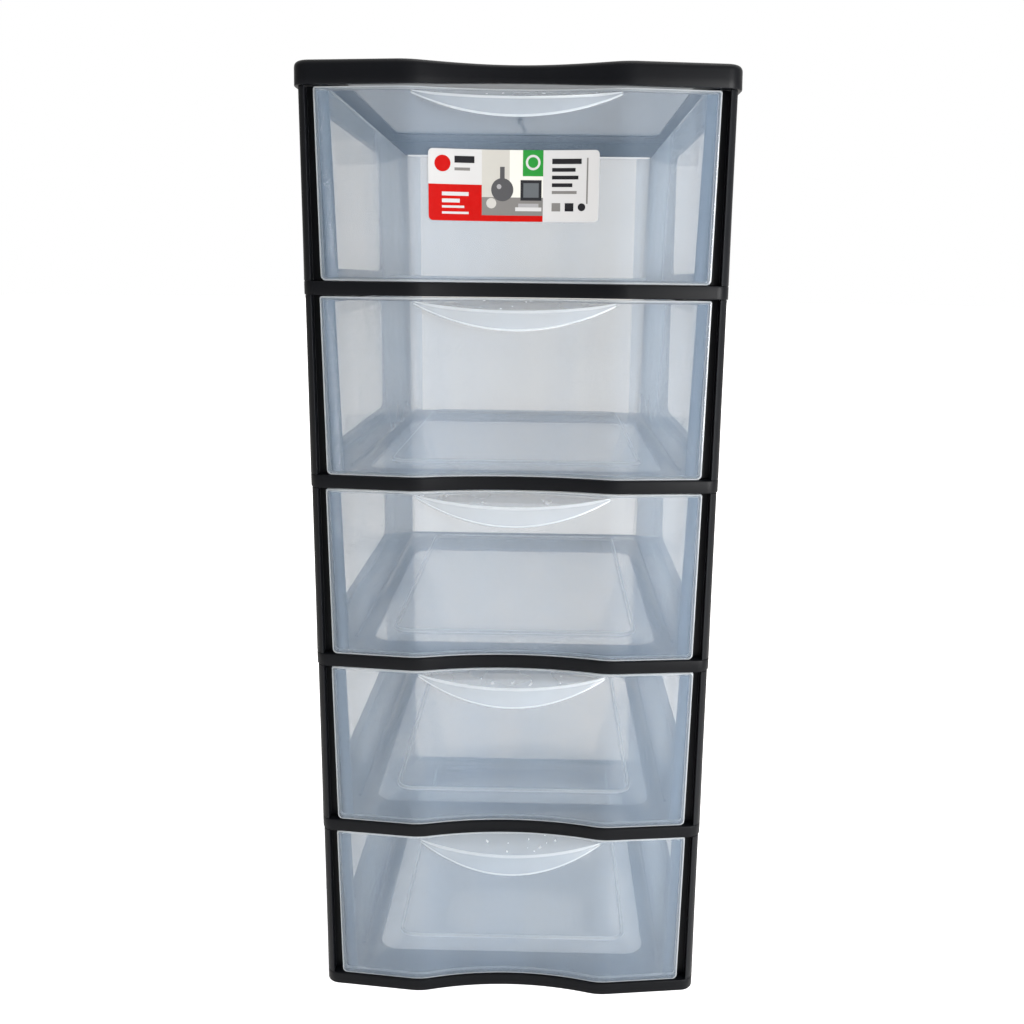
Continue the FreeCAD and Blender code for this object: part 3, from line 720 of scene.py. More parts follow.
@dataclass(frozen=True)
class WavedLine:
    """The tower's plan: a front with a shallow hollow between two crests, wings falling back."""

    half_width: float = 150.0
    depth: float = 400.0
    hollow: float = 9.9
    crest_x: float = 74.5
    crest_radius: float = 40.0
    setback: float = 8.8
    front_radius: float = 11.0
    rear_radius: float = 9.0

    @property
    def wing_turn(self) -> float:
        """Return the angle at which the wings fall back."""
        return math.atan2(self.setback, self.half_width - self.crest_x)

    @property
    def hollow_radius(self) -> float:
        """Return the radius of the hollow."""
        return (self.crest_x**2 + self.hollow**2) / (2 * self.hollow) - self.crest_radius

    @property
    def hollow_turn(self) -> float:
        """Return half the angle that the hollow turns through."""
        return math.asin(self.crest_x / (self.hollow_radius + self.crest_radius))

    def front_y(self, x: float, inset: float) -> float:
        """Return the y of the front at x, set back by an inset."""
        x = abs(x)
        if x <= (self.hollow_radius + inset) * math.sin(self.hollow_turn):
            radius = self.hollow_radius + inset
            return self.hollow - self.hollow_radius + math.sqrt(radius**2 - x**2)
        radius = self.crest_radius - inset
        turned = self.crest_x + radius * math.sin(self.wing_turn)
        if x <= turned:
            return self.crest_radius - math.sqrt(radius**2 - (x - self.crest_x) ** 2)
        start = self.crest_radius - radius * math.cos(self.wing_turn)
        return start + (x - turned) * math.tan(self.wing_turn)

    def corner(self) -> PlanPlace:
        """Return the centre of the right front corner."""
        x = self.half_width - self.front_radius
        start_x = self.crest_x + self.crest_radius * math.sin(self.wing_turn)
        start_y = self.crest_radius * (1 - math.cos(self.wing_turn))
        run = self.front_radius + (x - start_x) * math.sin(self.wing_turn)
        return x, start_y + run / math.cos(self.wing_turn)

    def outline(self) -> list[PlanPoint]:
        """Return the whole plan outline, each point with the direction that it faces."""
        wing, bend = self.wing_turn, self.hollow_turn
        x, y = self.corner()
        rear_x, rear_y = self.half_width - self.rear_radius, self.depth - self.rear_radius
        points = arc((x, y), self.front_radius, wing - QUARTER, 0.0, 8)
        points += arc((rear_x, rear_y), self.rear_radius, 0.0, QUARTER, 8)
        points += arc((-rear_x, rear_y), self.rear_radius, QUARTER, 2 * QUARTER, 8)
        points += arc((-x, y), self.front_radius, 2 * QUARTER, 3 * QUARTER - wing, 8)
        points += self._crest(-1, 3 * QUARTER - wing, 3 * QUARTER + bend)
        centre_y = self.hollow - self.hollow_radius
        for step in range(1, 28):
            turn = bend * (step / 14 - 1)
            along, across = math.sin(turn), math.cos(turn)
            y = centre_y + self.hollow_radius * across
            points.append((self.hollow_radius * along, y, -along, -across))
        return points + self._crest(1, 3 * QUARTER - bend, 3 * QUARTER + wing)

    def _crest(self, side: int, start: float, end: float) -> list[PlanPoint]:
        """Return the arc of the crest on one side, between two directions."""
        return arc((side * self.crest_x, self.crest_radius), self.crest_radius, start, end, 7)


@dataclass(frozen=True)
class Storey:
    """One storey of the tower: its number from the top and where its zero lies."""

    number: int
    origin: Vector

    BODY: ClassVar[str] = "tower"

    @property
    def drawer_body(self) -> str:
        """Return the name of the body that this storey's drawer is."""
        return f"drawer_body_{self.number}"


@dataclass
class LidFrame:
    """The lid: a waved skirt that overhangs the tower, round a wide window with a ledge."""

    line: WavedLine
    finish: Material
    overhang: float = 2.0
    height: float = 16.0
    wall: float = 4.6
    plate: float = 3.2
    rounding: float = 4.0
    window_half: float = 128.0
    window_front: float = 26.0
    window_rear: float = 347.0
    window_radius: float = 12.0
    ledge: float = 4.0
    ledge_height: float = 1.2
    arch: float = 2.4
    dip: float = 1.8
    dip_half: float = 92.0

    def build(self, origin: Vector) -> bpy.types.Object:
        """Build and dress the lid's frame.

        Args:
            origin: Where the lid's foot lies in the tower.

        Returns:
            The piece.
        """
        shell = Shell(origin)
        outline = self.line.outline()
        inner = self.wall - self.overhang
        under = self.height - self.plate
        out, turn, top = -self.overhang, self.rounding, self.height
        section = [(inner, under), (inner, 0.5), (inner - 0.5, 0.0)]
        section += [(out + 0.7, 0.0), (out + 0.2, 0.2), (out, 0.7), (out + 0.15, 6.0)]
        bend = quarter_steps(6)
        section += [(out + 0.3 + turn * fall, top - turn * rest) for fall, rest in bend]
        rows = [shell.line(self._level(outline, inset, height)) for inset, height in section]
        shell.bands(rows)
        window = soft_box(self.window_half, self.window_front, self.window_rear, self.window_radius)
        seat, ledge = top - self.plate + self.ledge_height, -self.ledge
        steps = ((ledge - 0.6, top), (ledge - 0.15, top - 0.15), (ledge, top - 0.6), (ledge, seat))
        steps += ((-0.4, seat), (0.0, seat - 0.4), (0.0, under))
        holes = shell.rise(window, steps)
        shell.cap([rows[-1], holes[0]])
        shell.cap([rows[0], holes[-1]])
        return shell.piece("lid_frame", [self.finish], Storey.BODY, Slot.FRAME, LID_NODE)

    def _level(self, outline: list[PlanPoint], inset: float, height: float) -> list[Place]:
        """Return the outline at a height, its foot arched and its top dipped over the hollow."""
        places = []
        for (x, y, z), (plan_x, plan_y, _, _) in zip(ring(outline, inset, height), outline):
            near = plan_y < self.line.depth / 2 and abs(plan_x) < self.dip_half
            share = math.cos(QUARTER * plan_x / self.dip_half) ** 2 if near else 0.0
            lift = self.arch if height < 1 else 0.0
            sink = self.dip * max(height - self.height / 2, 0.0) / (self.height / 2)
            places.append((x, y, z + (lift - sink) * share))
        return places


@dataclass
class LidPanel:
    """The clear panel that lies on the lid's ledge, with the mark of its moulding gate."""

    finish: Material
    half: float = 131.7
    front: float = 22.3
    rear: float = 350.7
    radius: float = 15.7
    foot: float = 14.0
    top: float = 16.0
    gate: PlanPlace = (-4.0, 250.0)
    gate_radius: float = 2.4

    def build(self, origin: Vector) -> bpy.types.Object:
        """Build and dress the panel.

        Args:
            origin: Where the lid's foot lies in the tower.

        Returns:
            The piece.
        """
        shell = Shell(origin)
        outline = soft_box(self.half, self.front, self.rear, self.radius)
        foot, top = self.foot, self.top
        section = ((0.5, foot), (0.0, foot + 0.5), (0.0, top - 0.6), (0.15, top - 0.15), (0.6, top))
        rows = shell.rise(outline, section)
        gate = arc(self.gate, self.gate_radius, 0.0, 4 * QUARTER, 20)[:-1]
        pits = shell.rise(gate, ((0.0, top), (0.3, top - 0.5), (1.4, top - 0.6)))
        shell.cap([rows[-1], pits[0]])
        shell.cap([pits[-1]])
        nub = shell.rise(gate, ((0.0, foot), (0.4, foot - 0.6)))
        shell.cap([rows[0], nub[0]])
        shell.cap([nub[-1]])
        return shell.piece("lid_panel", [self.finish], Storey.BODY, Slot.PANEL, "top_panel")


@dataclass
class Shelf:
    """A shelf: a waved rim, a web round a wide window, and two guide ribs for the drawer."""

    line: WavedLine
    finish: Material
    height: float = 9.5
    wall: float = 3.0
    web: float = 3.0
    edge: float = 0.8
    window_half: float = 112.0
    window_front: float = 40.0
    window_rear: float = 329.0
    window_radius: float = 17.0
    rib_inner: float = 124.2
    rib_width: float = 2.2
    rib_height: float = 2.6
    rib_front: float = 46.0
    rib_rear: float = 360.0

    def build(self, storey: Storey) -> bpy.types.Object:
        """Build and dress the shelf of a storey.

        Args:
            storey: The storey that stands on it.

        Returns:
            The piece.
        """
        shell = Shell(storey.origin)
        outline = self.line.outline()
        under = self.height - self.web
        edge, top = self.edge, self.height
        section = [(self.wall, under), (self.wall, 0.4), (self.wall - 0.4, 0.0)]
        section += [(edge * rest, edge * fall) for fall, rest in quarter_steps(4)]
        section += [(edge * fall, top - edge * rest) for fall, rest in quarter_steps(4)]
        rows = shell.rise(outline, section)
        window = soft_box(self.window_half, self.window_front, self.window_rear, self.window_radius)
        steps = ((-0.6, top), (-0.15, top - 0.15), (0.0, top - 0.6), (0.0, under + 0.3))
        holes = shell.rise(window, (*steps, (-0.3, under)))
        shell.cap([rows[-1], holes[0]])
        shell.cap([rows[0], holes[-1]])
        for side in (-1, 1):
            self._rib(shell, side)
        name = f"shelf_frame_{storey.number}"
        return shell.piece(f"shelf_{storey.number}", [self.finish], Storey.BODY, Slot.FRAME, name)

    def _rib(self, shell: Shell, side: int) -> None:
        """Stand one guide rib on the web."""
        middle = side * (self.rib_inner + self.rib_width / 2)
        rows = []
        for inset, height in ((0.0, 0.0), (0.0, self.rib_height - 0.5), (0.5, self.rib_height)):
            half, level = self.rib_width / 2 - inset, self.height + height
            front, rear = self.rib_front + inset, self.rib_rear - inset
            corners = ((half, front), (half, rear), (-half, rear), (-half, front))
            rows.append(shell.line((middle + x, y, level) for x, y in corners))
        shell.bands(rows)
        shell.cap([rows[-1]])


@dataclass
class SideFrame:
    """A side of one storey: a leaning wall with a window, a front column and two flanges."""

    line: WavedLine
    finish: Material
    foot: float = 9.5
    top: float = 138.0
    wall: float = 3.6
    lean: float = 1.3
    column: float = 6.6
    flange: float = 2.5
    flange_front: float = 8.1
    flange_edge: float = 128.3
    flange_foot: float = 124.9
    rear_flange: float = 24.0
    window: tuple[float, float, float, float] = (36.0, 351.0, 19.0, 131.5)
    window_radius: float = 11.0
    rib: float = 2.0
    rib_reach: float = 3.0

    def build(self, storey: Storey, hand: Hand) -> bpy.types.Object:
        """Build and dress one side frame.

        Args:
            storey: The storey that it stands in.
            hand: The side that it stands on.

        Returns:
            The piece.
        """
        shell = Shell(storey.origin)
        plan = self._plan()
        low = shell.line(self._at(hand, plan, self.foot))
        high = shell.line(self._at(hand, plan, self.top))
        outer, inner = self._walls(plan)
        for index in range(len(plan)):
            after = (index + 1) % len(plan)
            if index not in (outer, inner):
                shell.face((low[index], low[after], high[after], high[index]))
        shell.face(low)
        shell.face(high)
        rims = []
        for start in (outer, inner):
            corners = [low[start], low[start + 1], high[start + 1], high[start]]
            rims.append(self._pierce(shell, hand, corners, plan[start][0]))
        shell.band(*rims)
        for level in (self.window[2] - self.rib, self.window[3]):
            self._rib(shell, hand, level)
        name = f"{hand.name.lower()}_{storey.number}"
        node = f"side_frame_{name}"
        piece = shell.piece(f"side_{name}", [self.finish], Storey.BODY, Slot.FRAME, node)
        soft = piece.modifiers.new("soft_edges", "BEVEL")
        soft.width = 0.5 * MM
        soft.segments = 2
        soft.limit_method = "ANGLE"
        soft.angle_limit = math.radians(40)
        soft.harden_normals = True
        return piece

    def _plan(self) -> list[PlanPlace]:
        """Return the side's plan, for the right-hand side."""
        line, half = self.line, self.line.half_width
        column, inner = half - self.column, half - self.wall
        x, y = line.corner()
        front, rear, edge = line.front_radius, line.rear_radius, self.flange_edge
        turn = math.acos((column - x) / front)
        back = self.flange_front + self.flange
        rear_corner = (half - rear, line.depth - rear)
        bends = arc((x, y), front, -turn, 0.0, 6) + arc(rear_corner, rear, 0.0, QUARTER, 8)
        inner_bend = arc(rear_corner, rear - self.wall, QUARTER, 0.0, 6)
        flange = half - self.rear_flange
        plan = [(place, line.front_y(place, self.flange_front)) for place in (edge, column)]
        plan += [point[:2] for point in bends]
        plan += [(flange, line.depth), (flange, line.depth - self.wall)]
        plan += [point[:2] for point in inner_bend]
        return plan + [(place, line.front_y(place, back)) for place in (inner, edge)]

    def _walls(self, plan: list[PlanPlace]) -> tuple[int, int]:
        """Return the numbers of the plan's two long stretches, outer and inner."""
        runs = [abs(first[1] - second[1]) for first, second in zip(plan, plan[1:])]
        outer, inner = (index for index, run in enumerate(runs) if run > self.line.depth / 2)
        return outer, inner

    def _at(self, hand: Hand, plan: list[PlanPlace], height: float) -> list[Place]:
        """Return the plan at a height, its outer face and its flange's edge leaning a little."""
        share = (height - self.foot) / (self.top - self.foot)
        limit = self.line.half_width - self.lean * share
        edge = self.flange_foot + (self.flange_edge - self.flange_foot) * share
        places = [(edge if x == self.flange_edge else min(x, limit), y) for x, y in plan]
        return [(hand.value * x, y, height) for x, y in places]

    def _pierce(self, shell: Shell, hand: Hand, corners: list[int], x: float) -> list[int]:
        """Fill one long wall round its window.

        Args:
            shell: The shell that is drawn.
            hand: The side that the wall is on.
            corners: The wall's four corners.
            x: How far out the wall's plane lies at its foot.

        Returns:
            The window's rim on this wall.
        """
        rim = []
        for y, z, _, _ in self._window_rim():
            rim += self._at(hand, [(x, y)], z)
        numbers = shell.line(rim)
        shell.cap([corners, numbers])
        return numbers

    def _rib(self, shell: Shell, hand: Hand, level: float) -> None:
        """Lay one straight rib along the window's edge, on the inner side."""
        front, rear = self.window[:2]
        outer = self.line.half_width - self.wall
        inner = outer - self.rib_reach
        top = level + self.rib
        rows = []
        for x in (outer, inner):
            corners = ((front, level), (rear, level), (rear, top), (front, top))
            rows.append(shell.line((hand.value * x, y, z) for y, z in corners))
        shell.bands(rows)
        shell.cap([rows[-1]])

    def _window_rim(self) -> list[PlanPoint]:
        """Return the window's rounded outline, as seen from the side."""
        front, rear, low, high = self.window
        radius = self.window_radius
        near, far, foot, top = front + radius, rear - radius, low + radius, high - radius
        return soft_corners(((far, top), (near, top), (near, foot), (far, foot)), radius, 7)


@dataclass
class Drawer:
    """A drawer: a thin tapered box, a waved front with a turned-back rim, and a pull lip."""

    line: WavedLine
    finishes: Sequence[Material]
    foot: float = 9.8
    box_top: float = 135.6
    box_half: float = 123.4
    box_rear: float = 387.9
    box_radius: float = 7.0
    draft: float = 4.1
    wall: float = 2.0
    flare: tuple[PlanPlace, ...] = ((7.6, 0.0), (5.2, 1.0), (3.0, 2.2), (1.2, 3.6), (0.0, 5.2))
    floor_inset: float = 7.0
    step_half: float = 97.0
    step_front: float = 55.0
    step_rear: float = 372.0
    step_radius: float = 13.0
    step_height: float = 2.2
    panel_inset: float = 1.6
    panel_thickness: float = 2.2
    panel_rim: float = 2.0
    panel_depth: float = 4.0
    panel_top: float = 137.2
    panel_top_half: float = 137.7
    panel_foot_half: float = 136.4
    panel_radius: float = 3.6
    lip_half: float = 72.0
    lip_span: float = 0.985
    lip_reach: float = 16.3
    lip_drop: float = 21.2
    ridge_reach: float = 9.4
    ridge_drop: float = 7.6
    lip_end_drop: float = 3.2
    lip_root_drop: float = 1.0
    lip_edge: float = 1.3
    # The ridge and the tip take the EDGE finish, whose whiter colour is painted highlight; the
    # roof's finish adds painted highlight specks.
    lip_coats: tuple[Coat, ...] = (
        *(Coat.ROOF, Coat.ROOF, Coat.LIP, Coat.EDGE, Coat.LIP, Coat.LIP),
        *(Coat.EDGE,) * 5,
        *(Coat.FRONT,) * 6,
    )

    def build(self, storey: Storey) -> bpy.types.Object:
        """Build and dress the drawer of a storey.

        Args:
            storey: The storey that the drawer slides in.

        Returns:
            The piece.
        """
        shell = Shell(storey.origin)
        self._box(shell)
        self._panel(shell)
        self._lip(shell)
        node, body = f"drawer_{storey.number}", storey.drawer_body
        return shell.piece(f"clear_{node}", self.finishes, body, Slot.DRAWER, node)

    def _box(self, shell: Shell) -> None:
        """Draw the box: three walls, and a floor with a step pressed up in it."""
        half, rear, radius = self.box_half, self.box_rear, self.box_radius
        front = self.line.front_y(half, self.panel_middle)
        flare = self.flare
        plan = [(half + out, front + back, 1.0, 0.0) for out, back in flare]
        plan += arc((half - radius, rear - radius), radius, 0.0, QUARTER, 8)
        plan += arc((radius - half, rear - radius), radius, QUARTER, 2 * QUARTER, 8)
        plan += [(-half - out, front + back, -1.0, 0.0) for out, back in reversed(flare)]
        foot, top, wall = self.foot, self.box_top, self.wall
        level, waist = foot + wall, foot + 60.0
        at_waist, at_top = self._lean(waist), self._lean(top)
        outside = [(self.floor_inset, foot)]
        outside += [(3.0 * rest, foot + 3.0 * fall) for fall, rest in quarter_steps(5)]
        outside += [(at_waist, waist), (at_top, top - 0.7), (at_top + 0.2, top - 0.2)]
        inside = [(at_top + wall - 0.2, top - 0.2), (at_top + wall, top - 0.7)]
        inside += [(at_waist + wall, waist)]
        inside += [(wall + 2.0 * fall, level + 2.0 * rest) for fall, rest in quarter_steps(5)]
        inside += [(self.floor_inset, level)]
        outer = shell.rise(plan, outside, Coat.BOX, closed=False)
        inner = shell.rise(plan, inside[1:], Coat.BOX, closed=False)
        rim = shell.line(ring(plan, *inside[0]))
        shell.bands([outer[-1], rim, inner[0]], Coat.EDGE, closed=False)
        self._floor(shell, inner[-1], level, 0.0)
        self._floor(shell, outer[0], foot, wall)

    @property
    def panel_middle(self) -> float:
        """Return the inset of the middle of the front's thickness."""
        return self.panel_inset + self.panel_thickness / 2

    def _lean(self, height: float) -> float:
        """Return the inset of the box's outer wall at a height, which lessens upwards."""
        return -self.draft * (height - self.foot) / (self.box_top - self.foot)

    def _floor(self, shell: Shell, edge: list[int], level: float, inset: float) -> None:
        """Fill one side of the floor, with its step.

        Args:
            shell: The shell that is drawn.
            edge: The floor's rounded edge, from right to left.
            level: The height of this side.
            inset: How far in from the step's outline its foot lies on this side.
        """
        reach, rise = self.box_half - self.floor_inset, self.step_height
        across = [reach * (2 * step / 30 - 1) for step in range(1, 30)]
        depth = self.panel_middle
        front = shell.line((x, self.line.front_y(x, depth), level) for x in across)
        step = soft_box(self.step_half, self.step_front, self.step_rear, self.step_radius)
        slopes = ((-0.9, 0.0), (-0.3, 0.25), (0.5, rise - 0.25), (1.1, rise))
        section = [(inset + into, level + height) for into, height in slopes]
        rows = shell.rise(step, section, Coat.EDGE)
        shell.cap([edge + front, rows[0]], Coat.FLOOR)
        shell.cap([rows[-1]], Coat.FLOOR)

    def _front_point(self, x: float, height: float, inset: float) -> Place:
        """Return a place on the front: x as at half its height, its height and its inset."""
        middle = (self.panel_top_half + self.panel_foot_half) / 2
        share = (height - self.foot) / (self.panel_top - self.foot)
        half = self.panel_foot_half + (self.panel_top_half - self.panel_foot_half) * share
        x = x * half / middle
        return x, self.line.front_y(x, inset), height

    def _panel(self, shell: Shell) -> None:
        """Draw the waved front and the rim turned back round it."""
        face = self.panel_inset
        back = face + self.panel_thickness
        rear = back + self.panel_depth
        rim = self.panel_rim
        loops = ((1.1, face), (0.35, face + 0.12), (0.1, face + 0.4), (0.0, face + 1.0))
        loops += ((0.0, rear - 0.7), (0.2, rear - 0.2), (0.7, rear), (rim - 0.6, rear))
        loops += ((rim - 0.1, rear - 0.3), (rim, rear - 0.8), (rim, back + 0.6), (rim + 0.6, back))
        rows = [self._front_loop(shell, margin, inset) for margin, inset in loops]
        # The rim takes the EDGE finish, whose whiter colour is partly painted highlight.
        shell.bands(rows, Coat.EDGE)
        shell.fill(rows[0])
        shell.fill(rows[-1])

    def _front_loop(self, shell: Shell, margin: float, inset: float) -> list[int]:
        """Draw a loop round the front, set in by a margin: its foot, then its top."""
        middle = (self.panel_top_half + self.panel_foot_half) / 2 - margin
        low_radius = self.panel_radius - margin * 0.6
        high_radius = max(1.6 - margin * 0.3, 0.5)
        shares = (0.0, 0.04, 0.13, 0.3, 0.55, 0.8, 1.0)
        foot, top = self.foot + margin, self.panel_top - margin
        lower, upper = [], []
        for x in spread(middle, low_radius, shares, 56):
            gap = middle - abs(x)
            low, high = foot + corner_fall(low_radius, gap), top - corner_fall(high_radius, gap)
            lower.append(self._front_point(x, low, inset))
            upper.append(self._front_point(x, high, inset))
        return shell.line(lower + upper[::-1])

    def _lip(self, shell: Shell) -> None:
        """Draw the crescent pull lip, station by station across the front."""
        stations = 44
        rows = []
        for step in range(stations + 1):
            share = -math.cos(math.pi * step / stations) * self.lip_span
            section = self._lip_section(share)
            rows.append(shell.line((share * self.lip_half, y, z) for y, z in section))
        for first, second in zip(rows, rows[1:]):
            for index, coat in enumerate(self.lip_coats):
                corners = (first[index], first[index + 1], second[index + 1], second[index])
                shell.face(corners, coat)

    def _lip_section(self, share: float) -> list[tuple[float, float]]:
        """Return the lip's section at a share of its half span, as y and height.

        Args:
            share: How far out the section lies, from -1 to 1.

        Returns:
            The section, from the root over the ridge to the tip and back beneath.
        """
        full, wall, edge_half = 1 - share**2, self.wall, self.lip_edge / 2
        end_y = self.line.front_y(self.lip_half, self.panel_inset) + self.panel_thickness / 2
        end_z = self.panel_top - self.lip_end_drop
        upper, lower = Vector((end_y, end_z + wall / 2)), Vector((end_y, end_z - wall / 2))
        root_y = self.line.front_y(share * self.lip_half, self.panel_inset)
        root_z = upper.y + (self.panel_top - self.lip_root_drop - upper.y) * full
        root = Vector((root_y + self.panel_thickness / 2, root_z))
        ridge = upper.lerp(Vector((-self.ridge_reach, self.panel_top - self.ridge_drop)), full)
        tip = lower.lerp(Vector((-self.lip_reach, self.panel_top - self.lip_drop)), full)
        top_run, skirt_run = (ridge - root).normalized(), (tip - ridge).normalized()
        under = Vector((-top_run.y, top_run.x)) * wall
        behind = Vector((-skirt_run.y, skirt_run.x)) * wall
        fold = (under + behind).normalized()
        inner = ridge + fold * (wall / math.cos(top_run.angle(skirt_run) / 2))
        soft = min(2.2, (tip - ridge).length * 0.3)
        ease = fold * soft * 0.12
        edge = behind.normalized() * self.lip_edge
        middle = tip + edge / 2 - skirt_run * edge_half
        section = [root, root.lerp(ridge, 0.5), ridge - top_run * soft]
        section += [ridge + ease, ridge + skirt_run * soft]
        section += [ridge.lerp(tip, 0.5), tip - skirt_run * self.lip_edge]
        for step in range(4, -1, -1):
            turn = QUARTER * step / 2
            out, down = edge / 2 * math.cos(turn), skirt_run * edge_half * math.sin(turn)
            section.append(middle + out + down)
        section += [inner.lerp(tip + edge, 0.5), inner + skirt_run * soft]
        section += [inner + ease, inner - top_run * soft]
        section += [(root + under).lerp(inner, 0.5), root + under]
        return [(point.x, point.y) for point in section]


@dataclass
class FrontLabel:
    """The printed label on the first drawer: thin film with rounded corners."""

    line: WavedLine
    width: float = 116.0
    height: float = 47.0
    foot: float = 51.2
    shift: float = -1.7
    inset: float = 1.3
    thickness: float = 0.24
    radius: float = 3.0

    def build(self, storey: Storey) -> bpy.types.Object:
        """Build and dress the label.

        Args:
            storey: The storey whose drawer carries it.

        Returns:
            The piece.
        """
        shell = Shell(storey.origin)
        left = storey.origin.x + (self.shift - self.width / 2) * MM
        foot = storey.origin.z + self.foot * MM
        film = PrintedFilm(left, foot).material("printed_film")
        rows = [self._loop(shell, 0.05, self.inset), self._loop(shell, 0.0, self.inset + 0.06)]
        rows.append(self._loop(shell, 0.0, self.inset + self.thickness))
        shell.bands(rows)
        shell.fill(rows[0])
        shell.fill(rows[-1])
        body = storey.drawer_body
        return shell.piece("printed_label", [film], body, Slot.LABEL, "front_label")

    def _loop(self, shell: Shell, margin: float, inset: float) -> list[int]:
        """Draw a loop round the label: its foot from left to right, then its top."""
        half, radius = self.width / 2 - margin, self.radius - margin
        lower, upper = [], []
        for x in spread(half, radius, (0.0, 0.05, 0.2, 0.45, 0.75, 1.0), 28):
            drop = corner_fall(radius, half - abs(x))
            place = self.shift + x
            y = self.line.front_y(place, inset)
            lower.append((place, y, self.foot + margin + drop))
            upper.append((place, y, self.foot + self.height - margin - drop))
        return shell.line(lower + upper[::-1])


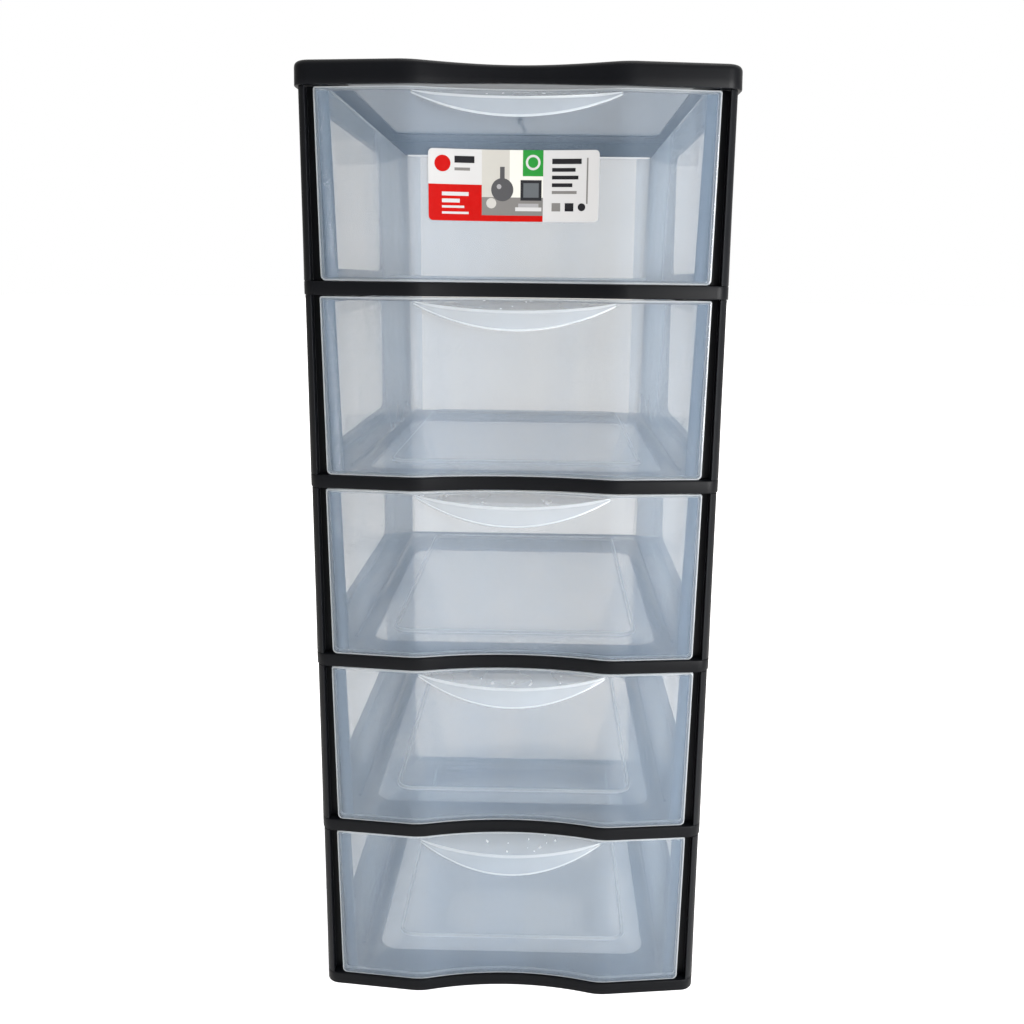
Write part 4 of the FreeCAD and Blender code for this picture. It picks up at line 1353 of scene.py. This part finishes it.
@dataclass
class Studio:
    """The floor, the lights and the camera."""

    eye: Place = (0.0233799, -0.9175647, 0.5637672)
    turn: float = -0.0133
    pitch: float = 0.2242
    roll: float = 0.0129
    lens: float = 36.0 * 1025.5424 / 1024.0
    shift: tuple[float, float] = (-20.0 / 1024.0, 2.2656 / 1024.0)
    base: float = 0.12
    above: float = 1.05
    behind: float = 0.7
    aside: float = 0.3
    floor_radius: float = 30.0
    daylight: Colour = (1.0, 0.985, 0.965)
    lamps: list[tuple[str, Place, Place, float, float, Colour]] = field(
        default_factory=lambda: [
            ("overhead", (0.3, -0.1, 2.4), (0.0, 0.0, 0.0), 1.2, 10.0, (1.0, 0.99, 0.98)),
            ("right_fill", (1.6, -1.8, 0.5), (0.0, 0.0, 0.4), 0.9, 56.0, (1.0, 0.995, 0.99)),
        ]
    )

    def build(self) -> None:
        """Set up the whole studio."""
        self._floor()
        self._sky()
        for lamp in self.lamps:
            self._lamp(*lamp)
        self._camera()
        scene = bpy.context.scene
        scene.view_settings.view_transform = "Standard"
        scene.cycles.transparent_max_bounces = 40
        scene.cycles.max_bounces = 10
        scene.cycles.diffuse_bounces = 6

    def _floor(self) -> None:
        """Lay the pale floor."""
        mesh = bpy.data.meshes.new("floor")
        rim = [point[:2] for point in arc((0.0, 0.0), self.floor_radius, 0.0, 4 * QUARTER, 48)]
        mesh.from_pydata([(x, y, 0.0) for x, y in rim[:-1]], [], [tuple(range(48))])
        mesh.materials.append(PaleFloor().material("pale_floor"))
        floor = bpy.data.objects.new("floor", mesh)
        bpy.context.scene.collection.objects.link(floor)

    def _sky(self) -> None:
        """Put a plain white surround in view, and light the stage by a soft dome behind it."""
        world = bpy.data.worlds.new("surround")
        bpy.context.scene.world = world
        sheet = NodeSheet(world)
        x, y, z = sheet.axes("Generated")
        dome = self.base + (z.most(0.0) ** 1.5) * self.above + (y.most(0.0) ** 1.5) * self.behind
        dome += x.ramp(0.02, 4.0) * self.aside
        light = sheet.result("Background", {"Color": self.daylight, "Strength": dome})
        view = sheet.result("Background", {"Color": (1.0, 1.0, 1.0), "Strength": 1.0})
        sheet.close("World", sheet.blend(sheet.open_view(), light, view))

    def _lamp(
        self, name: str, place: Place, aim: Place, size: float, power: float, colour: Colour
    ) -> None:
        """Hang one soft lamp, turned towards a point."""
        data = bpy.data.lights.new(name, "AREA")
        data.shape = "SQUARE"
        data.size = size
        data.energy = power
        data.color = colour
        lamp = bpy.data.objects.new(name, data)
        lamp.location = place
        lamp.rotation_euler = (Vector(aim) - Vector(place)).to_track_quat("-Z", "Y").to_euler()
        bpy.context.scene.collection.objects.link(lamp)

    def _camera(self) -> None:
        """Set the camera where the photograph was taken from."""
        level_run = math.cos(self.pitch)
        ahead = Vector((math.sin(self.turn) * level_run, math.cos(self.turn) * level_run, 0.0))
        ahead.z = -math.sin(self.pitch)
        level = Vector((math.cos(self.turn), -math.sin(self.turn), 0.0))
        rise = level.cross(ahead)
        right = level * math.cos(self.roll) + rise * math.sin(self.roll)
        upward = rise * math.cos(self.roll) - level * math.sin(self.roll)
        data = bpy.data.cameras.new("camera")
        data.sensor_width = 36.0
        data.lens = self.lens
        data.shift_x, data.shift_y = self.shift
        camera = bpy.data.objects.new("camera", data)
        pose = Matrix((right, upward, -ahead)).transposed().to_4x4()
        pose.translation = Vector(self.eye)
        camera.matrix_world = pose
        bpy.context.scene.collection.objects.link(camera)
        bpy.context.scene.camera = camera


def storeys() -> list[Storey]:
    """Return the tower's storeys from the top, placed by the shelves of the frame."""
    found = []
    for number in range(1, STOREYS + 1):
        low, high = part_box(f"shelf_frame_{number}")
        found.append(Storey(number, Vector((0.0, high.y - WavedLine.depth * MM, low.z))))
    return found


def main() -> None:
    """Build the tower and its studio, piece by piece."""
    logging.basicConfig(level=logging.INFO, format="%(message)s")
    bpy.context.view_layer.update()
    line = WavedLine()
    frame_finish = SatinPlastic().material("satin_charcoal")
    # The rims, the lip's ridge and its tip: hazier where the plastic is seen through its thickness,
    # and whiter, which is painted highlight.
    edge = ClearPlastic(
        haze=0.6,
        colour=(0.86, 0.93, 1.0),
        pale=(0.93, 0.97, 1.0),
        glow=(0.9, 0.95, 1.0),
        waves=0.0002,
    )
    # The box: the upper drawers' rear flanks get a painted brightening.
    box = ClearPlastic(haze=0.17, slant=0.12, gloss=0.4, rear_painted_light=0.24)
    lip = ClearPlastic(
        haze=0.34,
        slant=0.1,
        colour=(0.7, 0.79, 0.9),
        pale=(0.8, 0.86, 0.93),
        glow=(0.84, 0.89, 0.95),
        waves=0.0002,
        gloss=0.25,
    )
    coats = {
        Coat.FRONT: ClearPlastic().material("clear_plastic"),
        Coat.EDGE: edge.material("clear_edges_painted_highlight"),
        Coat.BOX: box.material("clear_box"),
        Coat.LIP: lip.material("clear_lip"),
        Coat.FLOOR: ClearPlastic(haze=0.24, slant=0.12, gloss=0.4).material("clear_base"),
        # The lip's roof: the lip's finish with white specks of painted highlight.
        Coat.ROOF: replace(lip, painted_glint_level=0.74).material("clear_roof_painted_glints"),
    }
    floors = storeys()
    shelf, side = Shelf(line, frame_finish), SideFrame(line, frame_finish)
    drawer = Drawer(line, [coats[coat] for coat in Coat])
    for storey in floors:
        shelf.build(storey)
        for hand in Hand:
            side.build(storey, hand)
        drawer.build(storey)
    lid_origin = Vector((0.0, floors[0].origin.y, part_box(LID_NODE)[0].z))
    LidFrame(line, frame_finish).build(lid_origin)
    LidPanel(FrostedPlastic().material("frosted_panel")).build(lid_origin)
    FrontLabel(line).build(floors[0])
    Studio().build()


if __name__ == "__main__":
    main()
